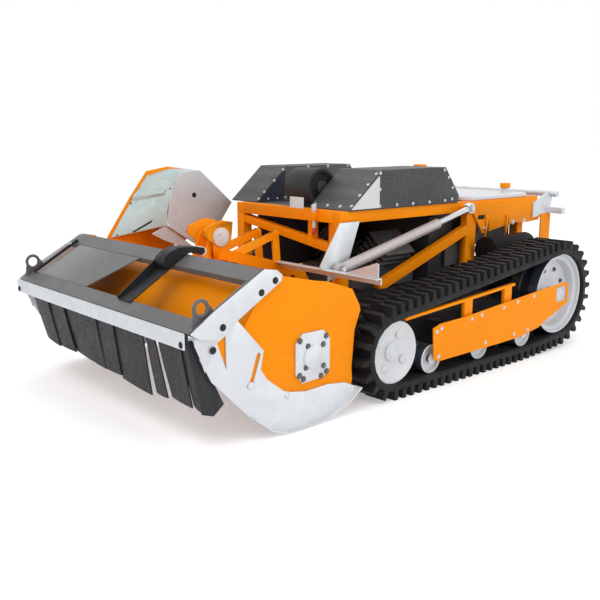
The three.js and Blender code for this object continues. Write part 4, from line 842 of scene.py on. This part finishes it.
def wrap_point(band, across, along, out=0.0):
    """A place on the wrap: its band, the share towards the face, the share up the band."""
    low = Vector(GUARD_OUTER[band]).lerp(Vector(GUARD_INNER[band]), across)
    high = Vector(GUARD_OUTER[band + 1]).lerp(Vector(GUARD_INNER[band + 1]), across)
    y, z = low.lerp(high, along)
    up = (high - low).normalized()
    x = GUARD_X0 + GUARD_RUN * across
    return Vector((x, y - up.y * out, z + up.x * out)) * MM


def wrap_patch(bm, band, start, stop, wide, thick):
    """A long patch with round ends, laid on the wrap."""
    points = []
    for end, first in ((stop, -90), (start, 90)):
        for k in range(7):
            a = math.radians(first + 30 * k)
            points.append((end[0] + wide[0] * math.cos(a), end[1] + wide[1] * math.sin(a)))
    top = [bm.verts.new(wrap_point(band, t, s, thick)) for t, s in points]
    foot = [bm.verts.new(wrap_point(band, t, s, 0.05)) for t, s in points]
    bm.faces.new(top)
    bm.faces.new(list(reversed(foot)))
    for k in range(len(points)):
        n = (k + 1) % len(points)
        bm.faces.new((top[k], foot[k], foot[n], top[n]))


def guard_sheet():
    """The face plate and the wrap that is folded back from it, as one sheet."""
    bm = bmesh.new()
    prism(bm, in_metres(GUARD_FACE), (GUARD_X1 - GUARD_SHEET) * MM, GUARD_X1 * MM)
    face_count = len(bm.faces)
    steps = 6
    rows = []
    for s in range(steps + 1):
        t = s / steps
        rows.append([((GUARD_X0 + GUARD_RUN * t) * MM,
                      (a[0] + (b[0] - a[0]) * t) * MM, (a[1] + (b[1] - a[1]) * t) * MM)
                     for a, b in zip(GUARD_OUTER, GUARD_INNER)])
    outer = [[bm.verts.new(p) for p in row] for row in rows]
    drop = Vector((0, 2.6 * MM, -3.0 * MM))
    inner = [[bm.verts.new(Vector(p) + drop) for p in row] for row in rows]
    count = len(GUARD_OUTER)
    for s in range(steps):
        for k in range(count - 1):
            bm.faces.new((outer[s][k], outer[s + 1][k], outer[s + 1][k + 1], outer[s][k + 1]))
            bm.faces.new((inner[s][k], inner[s][k + 1], inner[s + 1][k + 1], inner[s + 1][k]))
        bm.faces.new((outer[s][0], inner[s][0], inner[s + 1][0], outer[s + 1][0]))
        bm.faces.new((outer[s][-1], outer[s + 1][-1], inner[s + 1][-1], inner[s][-1]))
    for k in range(count - 1):
        bm.faces.new((outer[0][k], outer[0][k + 1], inner[0][k + 1], inner[0][k]))
        bm.faces.new((outer[-1][k], inner[-1][k], inner[-1][k + 1], outer[-1][k + 1]))
    # The wrap's faces take the darker zinc copy: painted shade on the folded-back sheet
    bm.faces.ensure_lookup_table()
    for face in bm.faces[face_count:]:
        face.material_index = 1
    mesh = mesh_from(bm, "guard_sheet")
    piece = add_piece("guard_sheet", mesh, "deck", ZINC, 20)
    mesh.materials.append(ZINC_IN_SHADE)
    bevel(piece, 2 * MM)
    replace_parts(piece, "tower_guard")


def guard_details():
    """A pressed ledge across the wrap, a handle slot painted as shade, the foot sheet, a lip,
    screws, a plug.
    """
    bm = bmesh.new()
    ends = []
    for across in (0.04, 0.3, 0.6, 0.86):
        ends.append([bm.verts.new(p) for p in (
            wrap_point(2, across, 0.54, 0.3), wrap_point(2, across, 0.46, 5.0),
            wrap_point(2, across, 0.22, 11.0), wrap_point(2, across, 0.12, 10.0),
            wrap_point(2, across, 0.03, 0.3))])
    for one, two in zip(ends, ends[1:]):
        for k in range(5):
            n = (k + 1) % 5
            bm.faces.new((one[k], one[n], two[n], two[k]))
    bm.faces.new(ends[0])
    bm.faces.new(list(reversed(ends[-1])))
    # The ledge lies on the wrap and takes its painted shade
    bevel(add_piece("guard_ledge", mesh_from(bm, "guard_ledge"), "deck", ZINC_IN_SHADE, 40),
          1.5 * MM)
    # The handle slot is not cut: a black patch on the wrap is painted shade, with an orange patch
    # inside it
    bm = bmesh.new()
    wrap_patch(bm, 0, (0.42, 0.08), (0.72, 0.56), (0.035, 0.09), 0.5)
    add_piece("guard_slot_shade", mesh_from(bm, "guard_slot_shade"), "deck", BLACK, 30)
    bm = bmesh.new()
    wrap_patch(bm, 0, (0.47, 0.13), (0.60, 0.34), (0.018, 0.045), 0.8)
    add_piece("guard_slot_inside", mesh_from(bm, "guard_slot_inside"), "deck", ORANGE,
              30)
    plate("guard_foot", GUARD_FOOT, -437.5, -434.5, "deck", ZINC, 0.8, 30)
    plate("guard_lip", GUARD_LIP, -429.8, -420.5, "deck", ZINC, 2.5, 30)
    screws("guard_screws", "deck", BLACK,
           [(wrap_point(1, 0.03, 0.96, 0.2), (0, -0.79, 0.61)),
            (wrap_point(2, 0.94, 0.55, 0.2), (0, -0.85, 0.5)),
            (wrap_point(0, 0.1, 0.12, 0.2), (0, -0.8, 0.6))], 3.2 * MM, 1.5 * MM)
    bm = bmesh.new()
    revolve(bm, [(0.0, 0.0), (0.0, 10.0 * MM), (0.4 * MM, 10.0 * MM), (0.4 * MM, 0.0)],
            Vector((GUARD_X1, -353, 616)) * MM, (1, 0, 0), 28)
    add_piece("guard_plug", mesh_from(bm, "guard_plug"), "deck", BLACK, 30)


guard_sheet()
guard_details()

DECK_CHEEK = [(-950, 316), (-940, 326), (-868, 334), (-868, 185), (-918, 212)]
for side_name, side_sign in SIDES:
    plate(f"deck_cheek_{side_name}", DECK_CHEEK, side_sign * 538.3, side_sign * 543.7, "deck",
          ORANGE, 1)

# Flap frame in its own sloping plane: X, distance up the slope, height over the sheet
FRAME_FRONT = (-1032.0, 340.0)
FRAME_RISE, FRAME_DEEP = 147.0, 252.0
FRAME_SLOPE = math.atan2(FRAME_RISE, FRAME_DEEP)
FRAME_RUN = math.hypot(FRAME_RISE, FRAME_DEEP)
FRAME_HALF = 541.0
FRAME_BAND = 58.0
FRAME_BACK = FRAME_RUN - FRAME_BAND
FRAME_SHEET = 5.0
FRAME_DEPTH = 22.0


def on_frame(x, along, out):
    """A place given by X, the distance up the slope and the height over the sheet."""
    c, s = math.cos(FRAME_SLOPE), math.sin(FRAME_SLOPE)
    y, z = FRAME_FRONT
    return Vector((x, y + along * c - out * s, z + along * s + out * c)) * MM


def closed_between(bm, first, second):
    """A closed form between two outlines that have the same number of points."""
    a = [bm.verts.new(p) for p in first]
    b = [bm.verts.new(p) for p in second]
    bm.faces.new(a)
    bm.faces.new(list(reversed(b)))
    for k in range(len(a)):
        n = (k + 1) % len(a)
        bm.faces.new((a[k], a[n], b[n], b[k]))


def frame_flat(bm, outline, low, high):
    """A plate that lies on the frame; its outline is in X and distance up the slope."""
    closed_between(bm, [on_frame(x, a, low) for x, a in outline],
                   [on_frame(x, a, high) for x, a in outline])


def frame_fin(bm, outline, x0, x1):
    """A form with one section along X; the section is distance up the slope and height."""
    closed_between(bm, [on_frame(x0, a, o) for a, o in outline],
                   [on_frame(x1, a, o) for a, o in outline])


def frame_piece(name, bm, material, edge):
    """A piece of the flap frame, with softened edges."""
    piece = add_piece(name, mesh_from(bm, name), "flap", material, 35)
    bevel(piece, edge)
    return piece


def flap_frame():
    """The folded bands, the bare panel between them, and the rod along the far side."""
    bm = bmesh.new()
    half = FRAME_HALF
    lip, deep = -FRAME_SHEET, -FRAME_DEPTH
    frame_fin(bm, [(4.5, lip), (15.5, lip), (15.5, deep), (FRAME_BAND, deep), (FRAME_BAND, 0),
                   (4.5, 0)], -half, half)
    frame_fin(bm, [(FRAME_BACK, deep), (FRAME_RUN, deep), (FRAME_RUN, 0), (FRAME_BACK, 0)],
              -half, half)
    for x0, x1 in ((-half - 9.7, -half), (half, half + 9.7)):
        for a0, a1 in ((26.5, FRAME_BAND), (FRAME_BACK, FRAME_RUN - 10)):
            frame_fin(bm, [(a0, deep), (a1, deep), (a1, -0.4), (a0, -0.4)], x0, x1)
    frame_flat(bm, [(half - 10, FRAME_BAND), (half, FRAME_BAND), (half, FRAME_BACK),
                    (half - 10, FRAME_BACK)], lip, 0)
    flange = [(-1021.5, 320), (-1017.5, 320), (-1017.5, 342.5), (-1021.5, 342.5)]
    prism(bm, in_metres(flange), -0.526, 0.526)
    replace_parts(frame_piece("frame_bands", bm, FRAME_GREY, 1.5 * MM), "flap_frame")
    bm = bmesh.new()
    frame_flat(bm, [(-463, FRAME_BAND + 0.5), (-124, FRAME_BAND + 0.5), (-36, FRAME_BACK - 0.5),
                    (-463, FRAME_BACK - 0.5)], lip, -0.8)
    frame_piece("frame_panel", bm, PANEL, 1 * MM)
    bm = bmesh.new()
    frame_fin(bm, [(50, 0.2), (250, 0.2), (250, 10), (50, 10)], -507, -497)
    frame_piece("frame_rod", bm, BLACK, 3 * MM)
    up = Vector((0, -math.sin(FRAME_SLOPE), math.cos(FRAME_SLOPE)))
    screws("frame_rod_bolt", "flap", STEEL, [(on_frame(-502, 217, 10.2), up)],
           5 * MM, 3 * MM, True)


def frame_stay():
    """An angle bar, its hooked end that goes over the rear band, and the eye there."""
    bm = bmesh.new()
    frame_flat(bm, [(118, 46), (184, 46), (178, 226), (118, 226)], 0.2, 4.5)
    frame_fin(bm, [(46, 0.2), (226, 0.2), (226, 36), (206, 30), (46, 12)], 113, 118)
    frame_piece("stay_bar", bm, BLACK, 1.2 * MM)
    bm = bmesh.new()
    hook = [(226, 0.4), (204, 6), (206, 26), (217, 39), (240, 42), (274, 37), (308, 16),
            (340, -8), (352, -20), (346, -33), (332, -33), (306, -4), (291, 0.4)]
    frame_fin(bm, hook, 118.2, 172)
    frame_piece("stay_hook", bm, BLACK, 2 * MM)
    bm = bmesh.new()
    revolve(bm, [(0.0, 0.0075), (0.0, 0.014), (0.052, 0.014), (0.052, 0.0075)],
            on_frame(113, 344, -28), (1, 0, 0), 32, closed=True)
    add_piece("stay_tube", mesh_from(bm, "stay_tube"), "flap", SILVER, 30)


RING_X, RING_ALONG, RING_OUT = 533, 75, 28
RING_RADIUS, RING_WIRE = 21.5, 5.4
RING_STEPS, WIRE_STEPS = 40, 12
RING_FOOT = [(26, 0.2), (104, 0.2), (101, 22), (94, 14), (86, 8), (75, 5.5), (64, 8),
             (55, 16), (50, 30), (44, 26)]


def lifting_ring(side, sign):
    """A ring of round wire that stands on a foot at the frame's end."""
    bm = bmesh.new()
    rings = []
    for k in range(RING_STEPS):
        a = 2 * math.pi * k / RING_STEPS
        ring = []
        for q in range(WIRE_STEPS):
            w = 2 * math.pi * q / WIRE_STEPS
            reach = RING_RADIUS + RING_WIRE * math.cos(w)
            ring.append(bm.verts.new(on_frame(sign * RING_X + RING_WIRE * math.sin(w),
                                              RING_ALONG + reach * math.cos(a),
                                              RING_OUT + reach * math.sin(a))))
        rings.append(ring)
    for k in range(RING_STEPS):
        one, two = rings[k], rings[(k + 1) % RING_STEPS]
        for q in range(WIRE_STEPS):
            n = (q + 1) % WIRE_STEPS
            bm.faces.new((one[q], one[n], two[n], two[q]))
    add_piece(f"lift_ring_{side}", mesh_from(bm, f"lift_ring_{side}"), "flap", FRAME_GREY,
              60)
    bm = bmesh.new()
    x0, x1 = sorted((sign * (RING_X - 3), sign * (RING_X + 3)))
    frame_fin(bm, RING_FOOT, x0, x1)
    frame_piece(f"lift_foot_{side}", bm, FRAME_GREY, 0.8 * MM)


flap_frame()
frame_stay()
SKID_NOSE = [(-1016, 312), (-1014, 327), (-930, 331), (-952, 300), (-985, 232), (-996, 266)]
for side_name, side_sign in SIDES:
    lifting_ring(side_name, side_sign)
for side_name, side_sign in SIDES:
    plate(f"skid_nose_{side_name}", SKID_NOSE, side_sign * 549.5, side_sign * 550.7,
          f"skid_{side_name}", WHITE, 0.4)

RAIL_ANGLE = [(-340, 406), (-312, 406), (-312, 384), (-316, 384), (-316, 402), (-340, 402)]
rail = plate("rail_angle", RAIL_ANGLE, 55.3, 550.0, "lift", ZINC, 1)
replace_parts(rail, "cross_rail")
bm = bmesh.new()
wedge = [(400, 406.3), (549, 406.3), (549, 452), (540, 455)]
closed_between(bm, [Vector((x, -329, z)) * MM for x, z in wedge],
               [Vector((x, -325, z)) * MM for x, z in wedge])
bevel(add_piece("rail_gusset", mesh_from(bm, "rail_gusset"), "lift", ZINC, 40), 0.8 * MM)

# Track covers, each with its window over the hub plate
COVER = [(-88, 214), (-80, 108), (-58, 95), (297, 98), (424, 101), (545, 118), (591, 137),
         (752, 192), (745, 268), (725, 276), (549, 265), (409, 254), (86, 229), (-50, 225)]
COVER_WINDOW = [(664, 200), (735, 202), (732, 262), (661, 260)]


def plate_with_hole(bm, outline, hole, x0, x1):
    """A plate from x0 to x1 whose outline and hole lie in Y and Z."""
    edges = []
    for loop in (outline, hole):
        verts = [bm.verts.new((x0, y * MM, z * MM)) for y, z in loop]
        edges += [bm.edges.new(pair) for pair in zip(verts, verts[1:] + verts[:1])]
    bmesh.ops.triangle_fill(bm, use_beauty=True, edges=edges)
    grown = bmesh.ops.extrude_face_region(bm, geom=list(bm.faces))
    moved = [item for item in grown["geom"] if isinstance(item, bmesh.types.BMVert)]
    bmesh.ops.translate(bm, verts=moved, vec=(x1 - x0, 0, 0))


for side_name, side_sign in SIDES:
    bm = bmesh.new()
    plate_with_hole(bm, COVER, COVER_WINDOW, side_sign * 0.575, side_sign * 0.579)
    piece = add_piece(f"side_cover_{side_name}", mesh_from(bm, f"side_cover_{side_name}"),
                      "chassis", ORANGE, 40)
    bevel(piece, 0.8 * MM)
    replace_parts(piece, f"track_cover_{side_name}")

# Flat sheets of the chassis: behind the middle post, behind the engine (near-black, as painted
# shade of the bay), on the bumper's posts
plate("rear_shield", [(382, 335), (484, 335), (484, 462), (382, 446)], 238, 241, "chassis",
      CHARCOAL, 0.8)
# The sheet behind the engine is near-black: painted shade of the engine bay
plate("bay_shade_sheet", [(-190, 330), (335, 330), (335, 548), (-190, 548)], -232, -229, "chassis",
      DARK, 0.8)
for side_name, side_sign in SIDES:
    plate(f"bumper_post_{side_name}", [(950, 400), (1024, 400), (1024, 512), (950, 512)],
          side_sign * 303, side_sign * 309, "chassis", ORANGE, 1)

screws("strip_rivets", "flap", ZINC,
       [((x * MM, -1.040, 0.322), (0, -1, 0)) for x in range(-480, 481, 120)], 4 * MM, 1.5 * MM)
screws("strip_bolts", "flap", BLACK,
       [((x * MM, -1.040, 0.312), (0, -1, 0)) for x in (-524, 524)], 7 * MM, 4 * MM)
screws("lever_bolts", "lift", STEEL,
       [((0.348, -0.280, 0.403), (1, 0, 0))], 9 * MM, 5 * MM, True)
screws("ram_bolt", "chassis", STEEL,
       [((0.340, 0.417, 0.568), (1, 0, 0))], 9 * MM, 5 * MM, True)
screws("hitch_bolts", "lift", STEEL,
       side_spots([(-585, 524), (-562, 496)], 63.3), 3 * MM, 2 * MM)


# ---- Finish and softened edges for every node that still shows
EDGE = {
    "track_belt_left": 2.2 * MM, "track_belt_right": 2.2 * MM,
    "front_frame": 2.5 * MM, "side_rail_left": 2.5 * MM, "side_rail_right": 2.5 * MM,
    "rear_frame": 2.5 * MM, "twin_tank": 5 * MM, "chassis_tub": 2 * MM,
}
EDGE_PLAIN = 1.2 * MM
WELD = 0.01 * MM


def off_the_rail(place):
    """Everywhere on a track frame but on its upper slide rail."""
    return not (0.552 < abs(place.x) < 0.568 and place.z > 0.195)


TRACK_FRAME_TONES = [(DARK, off_the_rail),
                     (SILVER, lambda p: abs(p.x) > 0.5595 and p.z < 0.18)]
DECK_SIDE_TONES = [(STEEL, lambda p: abs(p.x) > 0.5446)]
# For each node, the faces that have a material of their own, told by their middle in metres; some
# are real colours, some painted shade
TONES_AND_PAINTED_SHADE = {
    "front_frame": [(WHITE, lambda p: p.z > 0.592 and 0.02 < p.x < 0.105)],
    "muffler": [(ORANGE, lambda p: p.z > 0.455)],
    # The tank below its top is near-black: painted shade of the engine bay
    "twin_tank": [(DARK, lambda p: p.z < 0.59)],
    "rear_bumper": [(ORANGE, lambda p: p.z < 0.51)],
    "track_frame_left": TRACK_FRAME_TONES,
    "track_frame_right": TRACK_FRAME_TONES,
    # The engine's rear is near-black: painted shade of the engine bay
    "engine_block": [(DARK, lambda p: p.y > 0.298)],
    "deck_side_left": DECK_SIDE_TONES,
    "deck_side_right": DECK_SIDE_TONES,
    "lift_lever": [(STEEL, lambda p: p.x > 0.3045)],
    "fan_housing": [(DARK, lambda p: True)],
}


def paint_faces(node, rows):
    """Gives the faces whose middle passes a row's test that row's material."""
    for material, test in rows:
        node.data.materials.append(material)
        index = len(node.data.materials) - 1
        for face in node.data.polygons:
            if test(node.matrix_world @ face.center):
                face.material_index = index


for node_name, node in NODES.items():
    if node.hide_render:
        continue
    finish = SPECIAL.get(node_name, OWN_FINISH[SLOT_OF[node_name]])
    node.data.materials.clear()
    node.data.materials.append(finish)
    paint_faces(node, TONES_AND_PAINTED_SHADE.get(node_name, []))
    node.data.polygons.foreach_set("use_smooth", [True] * len(node.data.polygons))
    weld = node.modifiers.new("weld", "WELD")
    weld.merge_threshold = WELD
    bevel(node, EDGE.get(node_name, EDGE_PLAIN))
